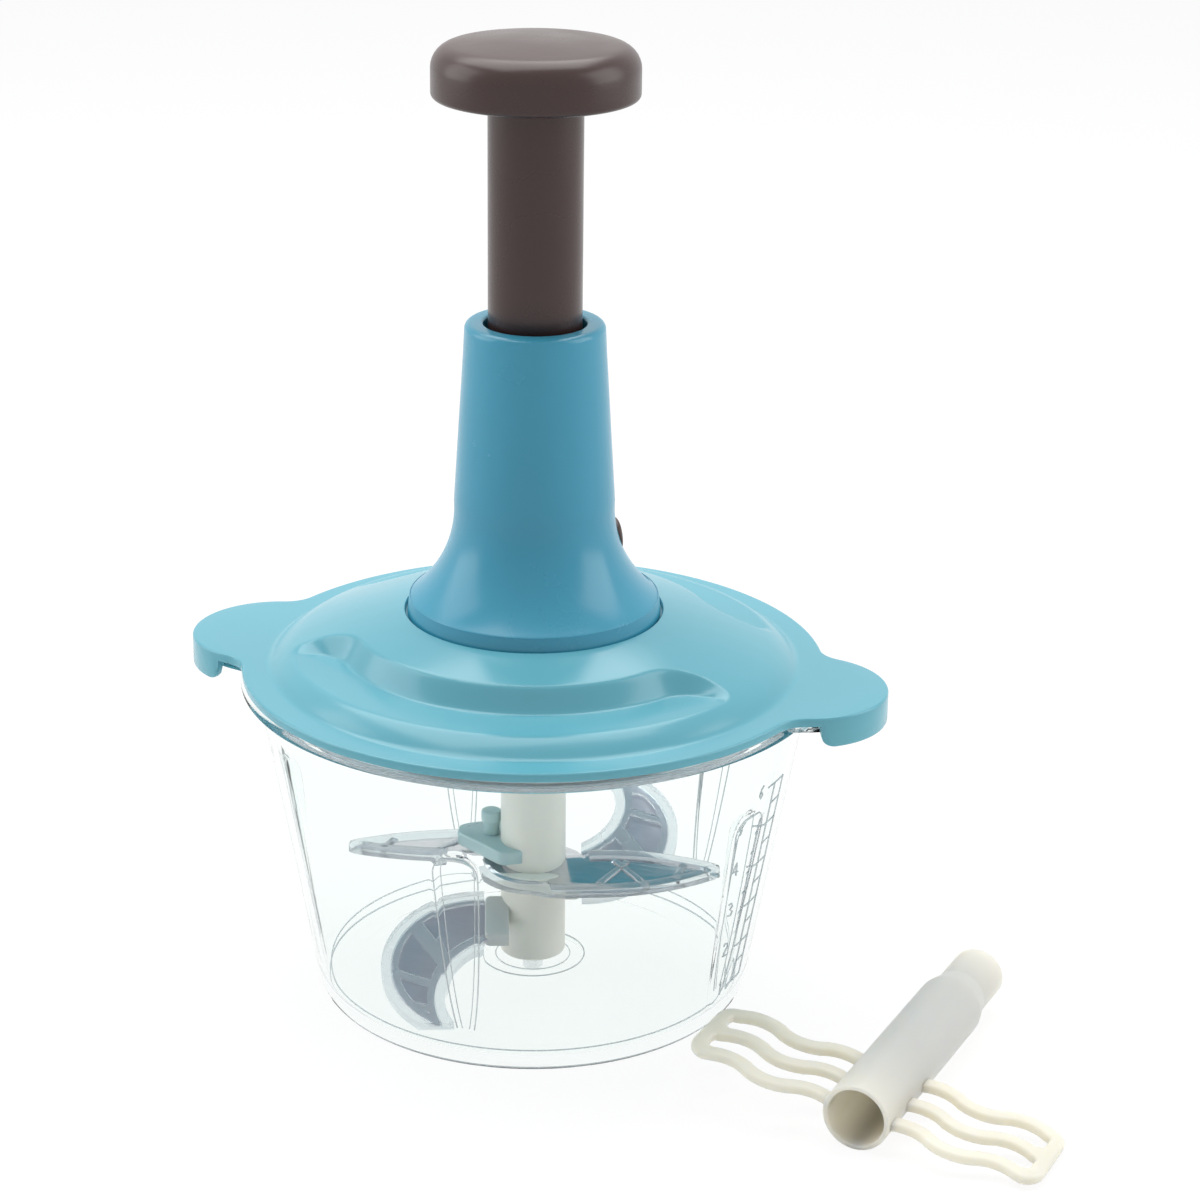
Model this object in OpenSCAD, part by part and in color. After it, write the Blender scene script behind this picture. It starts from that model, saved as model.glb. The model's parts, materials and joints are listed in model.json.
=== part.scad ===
// Plunger food chopper: a clear bowl with a lid that carries a press-down drive.
// Pressing the knob pushes a nut down a twisted strip, which spins the blades.
// A whisking beater that fits in the blades' place lies beside the bowl.
// Millimetres, +Z up, origin at the centre of the bowl's underside.

/* [Bowl] */
// Outer radius of the bowl where it meets the table
bowl_base_r = 63; // [58:0.5:66]
// Height of the bowl with its rim
bowl_h = 98.6; // [95:0.2:104]
// Outer radius of the bowl's wall under its rim
bowl_top_r = 80; // [78:0.5:81]
// Thickness of the bowl's wall
bowl_wall = 2.2; // [1.6:0.1:2.8]
// Thickness of the bowl's floor
bowl_floor = 4; // [3:0.2:5]
// Radius of the bowl's bottom corner
bowl_corner_r = 5; // [3:0.5:8]
// Thickness of the bowl's rim flange
rim_t = 2.6; // [2:0.1:3.4]
// Width that the rim flange stands out from the bowl's wall
rim_w = 4.5; // [3:0.1:6]
// Number of flutes pressed into the bowl's wall
flute_count = 5; // [3:1:7]
// Radius of a flute's groove
flute_r = 7; // [5:0.5:8]
// Depth of a flute at its top
flute_depth = 5; // [3:0.5:6]
// Height of a flute's arched top
flute_top = 72; // [60:1:80]
// Height at which a flute fades out
flute_foot = 8; // [7:0.5:20]
// Angle of the first flute from +X
flute_start = -91; // [-110:1:-80]
// Radius of the boss on the bowl's floor
boss_r = 15.4; // [13:0.2:18]
// Height of the boss above the floor
boss_h = 2.6; // [2:0.2:4]
// Radius of the steel pivot pin
pin_r = 3; // [2.5:0.1:3.5]
// Height of the pivot pin's top
pin_top = 66; // [50:1:80]

/* [Lid] */
// Thickness of the lid's flange
lid_t = 2.6; // [2:0.1:3.4]
// Step of the lid's edge inside the bowl's rim
lid_step = 0.5; // [0.2:0.1:1]
// Thickness of the lid's dome
lid_wall = 2.2; // [1.6:0.1:2.6]
// Width of the lid's flat flange outside the dome
flange_w = 8; // [7:0.5:10]
// Radius of the dome's rounded shoulder
dome_shoulder_r = 25; // [20:0.5:30]
// Slope of the dome where it meets the flange, in degrees
dome_edge_deg = 48; // [42:1:54]
// Slope of the dome where its shoulder ends, in degrees
dome_turn_deg = 23; // [21:0.5:25]
// Length that an ear stands out from the flange
ear_l = 19.5; // [16:0.5:24]
// Radius of an ear's outline
ear_r = 24; // [18:0.5:28]
// Radius of the blend between ear and flange
ear_blend_r = 10; // [6:0.5:16]
// Drop of the ear's skirt below the lid's top
skirt_h = 9; // [7:0.5:12]
// Thickness of the ear's skirt
skirt_t = 2.2; // [1.6:0.1:2.8]
// Distance outside the flange at which the skirt begins
skirt_off = 5; // [3:0.5:8]
// Width of the finger recess, from its long wall to the dome's foot
recess_w = 20; // [16:0.5:24]
// Radius of the finger recess's round ends
recess_end_r = 13.3; // [10:0.1:15]
// Half angle between the recess's round ends
recess_half_deg = 54; // [40:1:58]
// Height of the recess's floor above the flange, at its wall
recess_floor_h = 7; // [6:0.2:9]
// Depth of the plug skirt that centres the lid in the bowl
plug_h = 7; // [5:0.5:10]

/* [Neck] */
// Outer radius of the neck's bottom band
band_r = 36.4; // [35:0.2:38]
// Height of the neck's bottom band
band_h = 5.5; // [4:0.5:8]
// Outer radius of the neck's top
neck_top_r = 19.7; // [19:0.1:22]
// Outer radius of the neck above its flare
neck_waist_r = 22.9; // [22:0.1:26]
// Height of the neck's waist above the lid's flange
waist_h = 44.5; // [40:0.5:50]
// Height of the neck's top above the lid's flange
neck_h = 100.5; // [96:0.5:106]
// Radius of the neck's flare
flare_r = 34; // [30:0.5:38]
// Thickness of the neck's wall
neck_wall = 2.4; // [1.8:0.1:2.6]
// Radius of the hole for the plunger tube
neck_hole_r = 14.4; // [13.8:0.1:14.6]
// Rounding of the neck's top edge
neck_edge_r = 1.8; // [1:0.1:2.4]

/* [Lock button] */
// Height of the lock button above the lid's flange
button_h = 34.5; // [31:0.5:40]
// Angle of the lock button from +X
button_deg = 33; // [0:1:60]
// Radius of the lock button
button_r = 6; // [4.5:0.1:7]
// Travel of the lock button
button_travel = 1.5; // [1:0.1:1.8]

/* [Plunger] */
// Stroke of the plunger
stroke = 58; // [50:1:60]
// Outer radius of the plunger tube
tube_r = 13.2; // [12.6:0.1:13.6]
// Thickness of the plunger tube's wall
tube_wall = 2.2; // [1.6:0.1:2.6]
// Gap between the pressed knob and the neck
knob_gap = 5; // [3:0.5:10]
// Radius of the knob
knob_r = 28.7; // [26:0.1:32]
// Height of the knob's side
knob_side_h = 9; // [7:0.5:12]
// Height of the knob
knob_h = 16; // [14:0.5:20]
// Radius of the knob's rounded shoulder
knob_shoulder_r = 6.5; // [4:0.5:7]

/* [Drive] */
// Lead of the twisted strip, per turn
lead = 30; // [24:1:40]
// Width of the twisted strip
strip_w = 10; // [8:0.5:11]
// Thickness of the twisted strip
strip_t = 2.4; // [2:0.1:3]
// Gap between the strip and its nut
strip_gap = 0.35; // [0.3:0.05:0.5]
// Radius of the drive spindle
spindle_r = 5.5; // [5:0.1:6]
// Radius of the mechanism plate
plate_r = 37; // [36.5:0.1:38]
// Thickness of the mechanism plate
plate_t = 2.5; // [2:0.1:3]
// Outer radius of the guide sleeve
sleeve_r = 17.4; // [17:0.1:17.4]
// Radius of the collar at the tube's lower end
collar_r = 15.2; // [14.9:0.1:15.3]
// Number of teeth in the one-way clutch
clutch_teeth = 12; // [8:1:16]
// Number of turns of the return spring
spring_turns = 10; // [6:1:11]
// Thickness of the return spring's wire
spring_wire = 1.4; // [1:0.1:1.4]

/* [Blades] */
// Outer radius of the blade shaft
shaft_r = 9.6; // [9:0.1:10.5]
// Radius of the narrow top that the drive takes
shaft_top_r = 7.8; // [7.4:0.1:8.2]
// Radius of the shaft's bush
bush_r = 5.9; // [5:0.1:6.2]
// Turn of the blades at rest, from +X
blade_turn = 15.7; // [0:0.1:30]
// Height of the flat blade
blade_z = 37.2; // [36:0.2:42]
// Thickness of a blade plate
blade_t = 1; // [0.8:0.1:1.2]
// Reach of the flat blade's tips
flat_reach = 53; // [48:0.5:54]
// Radius of the flat blade's curved edges
leaf_r = 68; // [60:1:76]
// Distance of the flat blade's front edge from the axis
leaf_front = 18.5; // [17:0.5:20]
// Height at which the tilted blade's plane crosses the axis
tilt_z = 24.6; // [24:0.1:26]
// Tilt of the sickle blades, in degrees
tilt_deg = 20.5; // [17:0.5:21]
// Outer radius of a sickle blade
sickle_r = 25.7; // [24:0.1:26]
// Radius of a sickle blade's hollow side
sickle_cut_r = 24.3; // [23.5:0.1:25.5]
// Reach of a sickle blade's tip along the slope
sickle_reach = 50; // [46:0.5:50.5]
// Width that a guard stands out from its blade
guard_w = 3; // [2:0.2:3.4]
// Thickness of a blade guard
guard_t = 3; // [2.6:0.1:3.2]

/* [Beater] */
// Length of the beater's tube
beater_l = 96; // [88:1:104]
// Distance from the beater's axis to a frame's outer edge
beater_reach = 52; // [44:0.5:56]
// Width of a beater frame along the tube
beater_frame_w = 28; // [24:1:32]
// Width of the beater's bars
bar_w = 4.2; // [3.4:0.1:5]
// Thickness of the beater's frames
bar_t = 2.8; // [2.2:0.1:3.4]
// Place of the beater's open end on the table, in X
beater_x = 112; // [108:1:130]
// Place of the beater's open end on the table, in Y
beater_y = -77; // [-90:1:-70]
// Turn of the beater on the table
beater_turn = -11.7; // [-20:0.1:0]

/* [Hidden] */
$fn = 72;

// Clearances
seat_gap = 0.3;      // between bodies that rest on or pass each other
fit_gap = 0.1;       // between pieces of one body that slot together
run_gap = 0.05;      // radial, in the running bearings
far = 300;           // longer than any piece, for cuts
eps = 0.01;

// Colours
teal = [0.43, 0.70, 0.77];
deep_teal = [0.33, 0.57, 0.66];
brown = [0.30, 0.22, 0.21];
ivory = [0.88, 0.86, 0.80];
clear = [0.90, 0.95, 0.97, 0.35];
steel = [0.72, 0.73, 0.76];
white = [0.93, 0.93, 0.92];
brass = [0.75, 0.62, 0.35];
silicone = [0.85, 0.88, 0.90];

// Bowl
rim_under = bowl_h - rim_t;
rim_r = bowl_top_r + rim_w;
bowl_slope = (bowl_top_r - bowl_base_r) / rim_under;
boss_top = bowl_floor + boss_h;
function bowl_outer(z) = bowl_base_r + bowl_slope * z;
function bowl_inner(z) = bowl_outer(z) - bowl_wall;

// Lid: the dome's cap and its shoulder's arc
lid_z = bowl_h + seat_gap;
lid_top = lid_z + lid_t;
lid_r = rim_r - lid_step;
dome_r = lid_r - flange_w;
ear_reach = lid_r + ear_l;
skirt_start = lid_r + skirt_off;
recess_r = dome_r - recess_w;
seat_r = band_r + 0.5;
dome_cx = dome_r - dome_shoulder_r * sin(dome_edge_deg);
dome_cz = lid_top - dome_shoulder_r * cos(dome_edge_deg);
dome_cap_r = dome_shoulder_r + dome_cx / sin(dome_turn_deg);
dome_cap_z = dome_cz - dome_cx / tan(dome_turn_deg);
dome_rise = dome_cap_z + sqrt(pow(dome_cap_r, 2) - pow(seat_r, 2)) - lid_top;
neck_seat_z = lid_top + dome_rise - 1.4;
spigot_r = seat_r - 2.7;
plug_r = bowl_inner(lid_z - plug_h) - 1.8;
plug_t = 2;
ear_x = ear_reach - ear_r;
recess_z = lid_top + recess_floor_h;
recess_fall = 0.2;
recess_end_x = recess_r + recess_end_r;

// Mechanism stack, from the lid's collar downwards
collar_bottom = lid_top + 9.2;
plate_top = collar_bottom - fit_gap;
plate_z = plate_top - plate_t;
driver_t = 3;
driver_z = plate_z - 0.4 - 2 - driver_t;
dog_disc_t = 1.5;
dog_z = driver_z - seat_gap - dog_disc_t;
cup_h = driver_t + seat_gap;
cup_r = 14;
tooth_out_r = 12.2;
tooth_in_r = 10.6;
driver_r = 7.5;
dog_hex_r = 5.4;
dog_plug_h = 13;
shaft_top_z = dog_z - seat_gap;
spindle_top = collar_bottom + 1.7;
sleeve_z = collar_bottom;
sleeve_in_r = collar_r + seat_gap;
sleeve_floor_t = 1.5;
hub_screw_r = 27;
hub_boss_r = 3.4;
hub_boss_h = 11;
screw_r = 1.5;
rib_t = 1.6;

// Neck
neck_top = lid_top + neck_h;
waist_z = lid_top + waist_h;
neck_lip_t = 14.5;
lip_z = neck_top - neck_lip_t;
neck_rake = atan2(neck_waist_r - neck_top_r, neck_top - waist_z);
flare_cx = neck_waist_r + flare_r * cos(neck_rake);
flare_cz = waist_z + flare_r * sin(neck_rake);
button_z = lid_top + button_h;
button_face_r = flare_cx - sqrt(pow(flare_r, 2) - pow(button_z - flare_cz, 2));
button_len = 4.6;
button_lip = 1.2;
button_back_r = button_face_r - button_len;
button_pocket_r = 3.2;
button_pocket_h = 3.4;

// Plunger
knob_z = neck_top + stroke + knob_gap;
collar_h = 5.2;
tube_z = lip_z - seat_gap - collar_h;
tube_in_r = tube_r - tube_wall;
tube_top = knob_z + 9;
nut_h = 8;
nut_z = tube_z + 6;
strip_z = spindle_top;
strip_top = nut_z + nut_h + 2;
key_w = 4;
key_out = 1;

// Return spring, between the sleeve's floor and the nut
spring_r = 8;
spring_z = sleeve_z + sleeve_floor_t + 0.2;
spring_h = nut_z - 0.2 - spring_z;

// Blades
shaft_z = boss_top + 1.8;
plate_gap = 0.1;
hub_r = 15;
hub_flange_t = 2;
leaf_in = 5;
leaf_back = 1;
sickle_at = [-15.3, -27.5];
sickle_cut_at = [-4, -40];
sickle_root = shaft_r - 1.4;
lug_w = 4.6;
lug_t = 5;
lug_low = 17.5;
lug_high = 1.3;
tip_cover = 0.5;
slot_gap = 0.15;
strap_w = 2.4;
strap_wide = 4.4;
clamp_z = blade_z + blade_t + plate_gap;
clamp_t = 3.4;
clamp_corners = [[-19, 7, 4], [-6, -7, 5], [-4, 11, 5]];
clamp_reach = 10;
peg_sink = clamp_z - blade_z;
peg_at = [-12.4, 3.5];
peg_r = 2.4;
peg_h = 12;
guard_lap = 2;
flat_straps = [[23.5, -11, -38, strap_w], [43, -12, -15, strap_w]];
sickle_straps = [[-33.5, -33.6, 67, strap_w], [-30, -44.7, 74, strap_w], [-29.3, -21, 31, strap_wide]];

// Beater
beater_in_r = shaft_r - 1.4;
beater_taper_at = 0.75 * beater_l;
beater_narrow_at = 0.83 * beater_l;
beater_drop = shaft_r - bar_t / 2 - 0.6;
beater_roll = asin(beater_drop / beater_reach);

// A ring between two radii and two heights
module ring(r_in, r_out, z, h) {
    translate([0, 0, z])
        difference() {
            cylinder(r = r_out, h = h);
            translate([0, 0, -1])
                cylinder(r = r_in, h = h + 2);
        }
}

// Points along an arc of a circle
function arc(centre, r, from, to, steps) = [for (i = [0 : steps])
    centre + r * [cos(from + (to - from) * i / steps), sin(from + (to - from) * i / steps)]];

// A pie slice of the plane about +X
module slice(half_deg, r) {
    polygon([[0, 0], r * [cos(half_deg), -sin(half_deg)], [1.5 * r, 0],
        r * [cos(half_deg), sin(half_deg)]]);
}

// ---- Bowl ----

// Profile of a leaning wall on a level floor, with a rounded corner between them
module cup_profile(foot_r, floor_z, r, top) {
    lean = atan(bowl_slope);
    reach = r * tan(45 - lean / 2);
    polygon(concat([[0, top], [0, floor_z]],
        arc([foot_r - reach, floor_z + r], r, -90, -lean, 8),
        [[foot_r + bowl_slope * (top - floor_z), top]]));
}

// Outside of the bowl's wall, up to its rim
module bowl_outside() {
    rotate_extrude()
        cup_profile(bowl_base_r, 0, bowl_corner_r, rim_under + eps);
}

module bowl_inside() {
    rotate_extrude()
        cup_profile(bowl_inner(bowl_floor), bowl_floor, bowl_corner_r - 1, bowl_h + 1);
}

// A rod that sinks into the leaning wall, from the flute's foot to its arched top
module flute_rod(grow) {
    r = flute_r + grow;
    rise = flute_top - flute_foot;
    lean = atan(bowl_slope - flute_depth / rise);
    below = 4;
    side_deg = 15;
    corner_r = r / cos(side_deg / 2);
    intersection() {
        translate([bowl_outer(flute_foot) + flute_r - below * tan(lean), 0, flute_foot - below])
            rotate([0, lean, 0])
                linear_extrude(rise + flute_top)
                    polygon([for (a = [side_deg / 2 : side_deg : 360])
                        corner_r * [cos(a), sin(a)]]);
        translate([bowl_base_r - flute_r, 0, 0])
            rotate([90, 0, 90])
                linear_extrude(far) {
                    translate([-r, 0])
                        square([2 * r, flute_top - flute_r]);
                    translate([0, flute_top - flute_r])
                        circle(r = r);
                }
    }
}

module each_flute() {
    for (i = [0 : flute_count - 1])
        rotate([0, 0, flute_start + i * 360 / flute_count])
            children();
}

module bowl() {
    color(clear)
        difference() {
            union() {
                bowl_outside();
                ring(bowl_inner(rim_under), rim_r, rim_under, rim_t);
                for (side = [0, 180])
                    rotate([0, 0, side])
                        bowl_tab();
            }
            difference() {
                bowl_inside();
                each_flute()
                    flute_rod(bowl_wall);
                cylinder(r = boss_r, h = boss_top);
            }
            translate([0, 0, boss_top - 1])
                cylinder(r = shaft_r + 1.4, h = 2);
            each_flute()
                flute_rod(0);
            translate([0, 0, 1.5])
                cylinder(r = pin_r + run_gap, h = boss_top);
        }
}

// The clear tab of the bowl's rim under each ear of the lid
module bowl_tab() {
    tab_cut = skirt_t + 2 * seat_gap;
    translate([0, 0, rim_under])
        linear_extrude(rim_t)
            difference() {
                ear_outline(tab_cut);
                circle(r = bowl_top_r);
            }
}

module pivot_pin() {
    color(steel)
        rotate_extrude() {
            translate([0, 1.6])
                square([pin_r, pin_top - 1.6 - 0.6]);
            polygon([[0, pin_top - 0.7], [pin_r, pin_top - 0.7], [pin_r - 0.6, pin_top],
                [0, pin_top]]);
        }
}

// ---- Lid ----

// One ear with its blends into the flange, shrunk by a margin
module ear_outline(margin = 0) {
    body_r = lid_r - margin;
    tip_r = ear_r - margin;
    blend = ear_blend_r + margin;
    a = body_r + blend;
    b = tip_r + blend;
    bx = (a * a - b * b + ear_x * ear_x) / (2 * ear_x);
    by = sqrt(a * a - bx * bx);
    to_body = atan2(by, -bx);
    to_tip = atan2(by, ear_x - bx);
    polygon(concat(
        arc([bx, -by], blend, to_body, to_tip, 8),
        arc([ear_x, 0], tip_r, to_tip - 180, 180 - to_tip, 24),
        arc([bx, by], blend, -to_tip, -to_body, 8)));
}

module lid_outline(margin = 0) {
    circle(r = lid_r - margin);
    for (side = [0, 180])
        rotate(side)
            ear_outline(margin);
}

// The dome's solid, with its surface sunk by a depth
module dome(sink) {
    join_x = dome_cx + (dome_shoulder_r - sink) * sin(dome_turn_deg);
    rotate_extrude() {
        intersection() {
            translate([0, dome_cap_z])
                circle(r = dome_cap_r - sink, $fn = 360);
            translate([0, lid_z])
                square([join_x, far]);
        }
        intersection() {
            translate([dome_cx, dome_cz])
                circle(r = dome_shoulder_r - sink, $fn = 180);
            translate([join_x, lid_z])
                square([dome_r - sink - join_x, far]);
        }
    }
}

// The space of one finger recess, grown by a wall
module recess_space(grow) {
    wall_slope = 1.8;
    drop = recess_floor_h;
    intersection() {
        union() {
            rotate([0, 0, -90 - recess_half_deg])
                rotate_extrude(angle = 2 * recess_half_deg)
                    polygon([[recess_r + wall_slope / 2 - grow, lid_z],
                        [recess_r + wall_slope / 2 - grow, recess_z],
                        [recess_r - wall_slope / 2 - grow, recess_z + drop],
                        [dome_r + 4, recess_z + drop], [dome_r + 4, lid_z]]);
            for (s = [-1, 1])
                rotate([0, 0, -90 + s * recess_half_deg])
                    translate([recess_end_x, 0, recess_z])
                        cylinder(r1 = recess_end_r + grow - wall_slope / 2,
                            r2 = recess_end_r + grow + wall_slope / 2, h = drop);
            for (s = [-1, 1])
                rotate([0, 0, -90 + s * recess_half_deg])
                    translate([recess_end_x, 0, lid_z])
                        cylinder(r = recess_end_r + grow - wall_slope / 2, h = recess_z - lid_z + eps);
        }
        rotate_extrude()
            polygon([[0, recess_z - grow + recess_fall * recess_r],
                [2 * dome_r, recess_z - grow - recess_fall * (2 * dome_r - recess_r)],
                [2 * dome_r, far], [0, far]]);
    }
}

module both_recesses(grow) {
    for (turn = [0, 180])
        rotate([0, 0, turn])
            recess_space(grow);
}

// The skirt that hangs round the outer part of one ear
module ear_skirt() {
    round_r = 4;
    skirt_z = lid_top - skirt_h;
    intersection() {
        translate([0, 0, skirt_z])
            linear_extrude(skirt_h - 0.5)
                difference() {
                    ear_outline();
                    ear_outline(skirt_t);
                }
        rotate([90, 0, 0])
            translate([0, 0, -far / 2])
                linear_extrude(far) {
                    translate([skirt_start + round_r, skirt_z])
                        square([far, skirt_h]);
                    translate([skirt_start, skirt_z + round_r])
                        square([far, skirt_h - round_r]);
                    translate([skirt_start + round_r, skirt_z + round_r])
                        circle(r = round_r);
                }
    }
}

module lid() {
    color(teal)
        difference() {
            union() {
                translate([0, 0, lid_z])
                    linear_extrude(lid_t)
                        lid_outline();
                dome(0);
                for (side = [0, 180])
                    rotate([0, 0, side])
                        ear_skirt();
                ring(plug_r - plug_t, plug_r, lid_z - plug_h, plug_h + 1);
            }
            both_recesses(0);
            difference() {
                union() {
                    dome(lid_wall);
                    translate([0, 0, lid_z - 1])
                        cylinder(r = plug_r - plug_t, h = 1 + lid_t - 0.4);
                }
                both_recesses(lid_wall);
                ring(spigot_r + fit_gap, plate_r, collar_bottom, far);
            }
            translate([0, 0, lid_z])
                cylinder(r = spigot_r + fit_gap, h = far);
            translate([0, 0, neck_seat_z])
                cylinder(r = seat_r, h = far);
            ring(plug_r - 1, plug_r + 1, lid_z - plug_h + 1.2, 3.2);
        }
}

// The silicone ring in the groove of the lid's plug
module lid_gasket() {
    z = lid_z - plug_h + 1.3;
    lip_r = bowl_inner(z) - seat_gap;
    color(silicone)
        rotate_extrude()
            difference() {
                translate([plug_r - 0.9, z])
                    square([lip_r - plug_r + 0.9, 3]);
                translate([plug_r + 0.5, z + 1.2])
                    square([lip_r, 0.6]);
            }
}

// ---- Neck ----

module neck_outside() {
    rotate_extrude()
        difference() {
            polygon([[0, neck_seat_z], [band_r, neck_seat_z],
                [band_r - 0.8, neck_seat_z + band_h], [band_r - 0.8, waist_z],
                [neck_waist_r, waist_z], [neck_top_r, neck_top], [0, neck_top]]);
            translate([flare_cx, flare_cz])
                circle(r = flare_r, $fn = 180);
            translate([neck_top_r - neck_edge_r, neck_top - neck_edge_r])
                difference() {
                    square(far);
                    circle(r = neck_edge_r);
                }
        }
}

module neck_inside() {
    bore_r = sleeve_r + fit_gap;
    rotate_extrude() {
        difference() {
            polygon([[0, neck_seat_z - 20], [spigot_r - neck_wall, neck_seat_z - 20],
                [spigot_r - neck_wall, neck_seat_z + 2], [band_r - neck_wall, neck_seat_z + 4],
                [band_r - neck_wall, waist_z], [neck_waist_r - neck_wall, waist_z],
                [bore_r, lip_z], [0, lip_z]]);
            translate([flare_cx, flare_cz])
                circle(r = flare_r + neck_wall, $fn = 180);
        }
        square([neck_hole_r, far]);
    }
}

module each_hub_screw() {
    for (i = [0 : 2])
        rotate([0, 0, 90 + i * 120])
            translate([hub_screw_r, 0, 0])
                children();
}

module neck_housing() {
    color(deep_teal)
        difference() {
            union() {
                difference() {
                    union() {
                        neck_outside();
                        ring(spigot_r - neck_wall, spigot_r, collar_bottom, 8);
                    }
                    neck_inside();
                }
                intersection() {
                    each_hub_screw() {
                        translate([0, 0, collar_bottom])
                            cylinder(r = hub_boss_r, h = hub_boss_h);
                        translate([0, -1, collar_bottom])
                            cube([8, 2, hub_boss_h]);
                    }
                    cylinder(r = spigot_r - 1, h = far);
                }
            }
            each_hub_screw()
                translate([0, 0, collar_bottom - 1])
                    cylinder(r = screw_r, h = hub_boss_h);
            rotate([0, 0, button_deg])
                translate([0, 0, button_z])
                    rotate([0, 90, 0])
                        cylinder(r = button_r + seat_gap, h = far);
            rotate([0, 0, button_deg])
                translate([0, 0, button_z])
                    rotate([0, 90, 0])
                        cylinder(r = button_r + button_lip + seat_gap,
                            h = button_face_r - 3.2);
        }
}

// The white sleeve that guides the collar, with two keyways
module guide_sleeve() {
    color(white)
        difference() {
            ring(sleeve_in_r, sleeve_r, sleeve_z, lip_z - fit_gap - sleeve_z);
            for (turn = [0, 180])
                rotate([0, 0, turn])
                    translate([0, -key_w / 2 - seat_gap, sleeve_z + 3])
                        cube([collar_r + key_out + seat_gap, key_w + 2 * seat_gap, far]);
        }
    color(white)
        ring(spindle_r + 1, hub_screw_r - hub_boss_r - seat_gap, sleeve_z, sleeve_floor_t);
}

// The plate under the neck that holds the mechanism up
module mechanism_plate() {
    color(white)
        difference() {
            union() {
                translate([0, 0, plate_z])
                    cylinder(r = plate_r, h = plate_t);
                translate([0, 0, plate_z - 2])
                    ring(cup_r + 4, cup_r + 6, 0, 2 + eps);
                for (i = [0 : 5])
                    rotate([0, 0, i * 60])
                        translate([cup_r + 5, -rib_t / 2, plate_z - 2])
                            cube([plate_r - cup_r - 7, rib_t, 2 + eps]);
            }
            translate([0, 0, plate_z - 1])
                cylinder(r = spindle_r + 2.5, h = plate_t + 2);
            each_hub_screw()
                translate([0, 0, plate_z - 3])
                    cylinder(r = screw_r + 0.1, h = plate_t + 4);
        }
}

module plate_screws() {
    head_h = 2;
    color(steel)
        each_hub_screw() {
            difference() {
                translate([0, 0, plate_z - head_h - 0.02])
                    cylinder(r = 3, h = head_h);
                for (turn = [0, 90])
                    translate([0, 0, plate_z - head_h])
                        rotate([0, 0, turn])
                            cube([3.4, 0.7, 1.6], center = true);
            }
            translate([0, 0, plate_z - 0.1])
                cylinder(r = screw_r - 0.05, h = 11);
        }
}

// The bush that the drive spindle turns in
module spindle_bush() {
    color(brass)
        difference() {
            union() {
                translate([0, 0, plate_z - 0.3])
                    cylinder(r = spindle_r + 2.4, h = plate_t + 0.3);
                translate([0, 0, plate_z - 0.9])
                    cylinder(r = spindle_r + 3.6, h = 0.8);
            }
            translate([0, 0, plate_z - 2])
                cylinder(r = spindle_r + run_gap, h = plate_t + 4);
        }
}

// ---- Plunger ----

module plunger_knob() {
    crown_rise = knob_h - knob_side_h - knob_shoulder_r * 0.75;
    crown_r = (pow(knob_r - 4, 2) + pow(crown_rise, 2)) / (2 * crown_rise);
    color(brown)
        difference() {
            translate([0, 0, knob_z])
                rotate_extrude()
                    intersection() {
                        union() {
                            translate([0, 1.2])
                                square([knob_r, knob_side_h - 1.2]);
                            square([knob_r - 1.2, knob_side_h]);
                            translate([knob_r - 1.2, 1.2])
                                circle(r = 1.2);
                            translate([knob_r - knob_shoulder_r, knob_side_h])
                                circle(r = knob_shoulder_r);
                            square([knob_r - knob_shoulder_r, knob_h]);
                        }
                        translate([0, knob_h - crown_r])
                            circle(r = crown_r, $fn = 240);
                        square(far);
                    }
            translate([0, 0, knob_z - 1])
                cylinder(r = tube_r + fit_gap, h = tube_top - knob_z + 1.1);
            translate([0, 0, knob_z - 1])
                cylinder(r = screw_r, h = tube_top - knob_z + 5);
            difference() {
                translate([0, 0, knob_z - 1])
                    cylinder(r = knob_r - 3, h = knob_side_h - 1);
                translate([0, 0, knob_z - 2])
                    cylinder(r = tube_r + 2.2, h = far);
                for (i = [0 : 5])
                    rotate([0, 0, i * 60])
                        translate([0, -0.8, knob_z + 1.5])
                            cube([knob_r, 1.6, far]);
            }
        }
}

module plunger_tube() {
    color(brown)
        difference() {
            translate([0, 0, tube_z])
                cylinder(r = tube_r, h = tube_top - tube_z);
            translate([0, 0, tube_z - 1])
                cylinder(r = tube_in_r, h = tube_top - 3 - tube_z + 1);
            translate([0, 0, tube_z])
                cylinder(r = screw_r + 0.2, h = far);
        }
}

module knob_screw() {
    color(steel) {
        translate([0, 0, tube_top - 5.05])
            cylinder(r = 3, h = 2);
        translate([0, 0, tube_top - 3.1])
            cylinder(r = screw_r - 0.05, h = 7);
    }
}

// Cross-section of the twisted strip, with a margin
module strip_section(margin) {
    square([strip_w + 2 * margin, strip_t + 2 * margin], center = true);
}

// The strip's twist between two heights: turned so that it stays one screw
module strip(z0, z1, margin, steps) {
    translate([0, 0, z0])
        rotate([0, 0, 360 * (z0 - strip_z) / lead])
            linear_extrude(z1 - z0, twist = -360 * (z1 - z0) / lead, slices = steps, segments = 8)
                strip_section(margin);
}

// The nut that the strip passes through
module drive_nut() {
    color(white)
        difference() {
            translate([0, 0, nut_z])
                cylinder(r = tube_in_r - 0.05, h = nut_h);
            strip(nut_z - 1, nut_z + nut_h + 1, strip_gap, 12);
        }
}

// The collar that stops the plunger under the neck's lip and keys it to the sleeve
module tube_collar() {
    color(white) {
        ring(tube_r + 0.05, collar_r, tube_z, collar_h);
        for (turn = [0, 180])
            rotate([0, 0, turn])
                translate([collar_r - 0.6, -key_w / 2, tube_z])
                    cube([0.6 + key_out, key_w, collar_h]);
    }
}

// Points of a circle of wire, square to the helix at one place
function coil_point(a, k, sides, r, wire_r, z) = let(w = 360 * k / sides)
    [(r + wire_r * cos(w)) * cos(a), (r + wire_r * cos(w)) * sin(a), z + wire_r * sin(w)];

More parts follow.
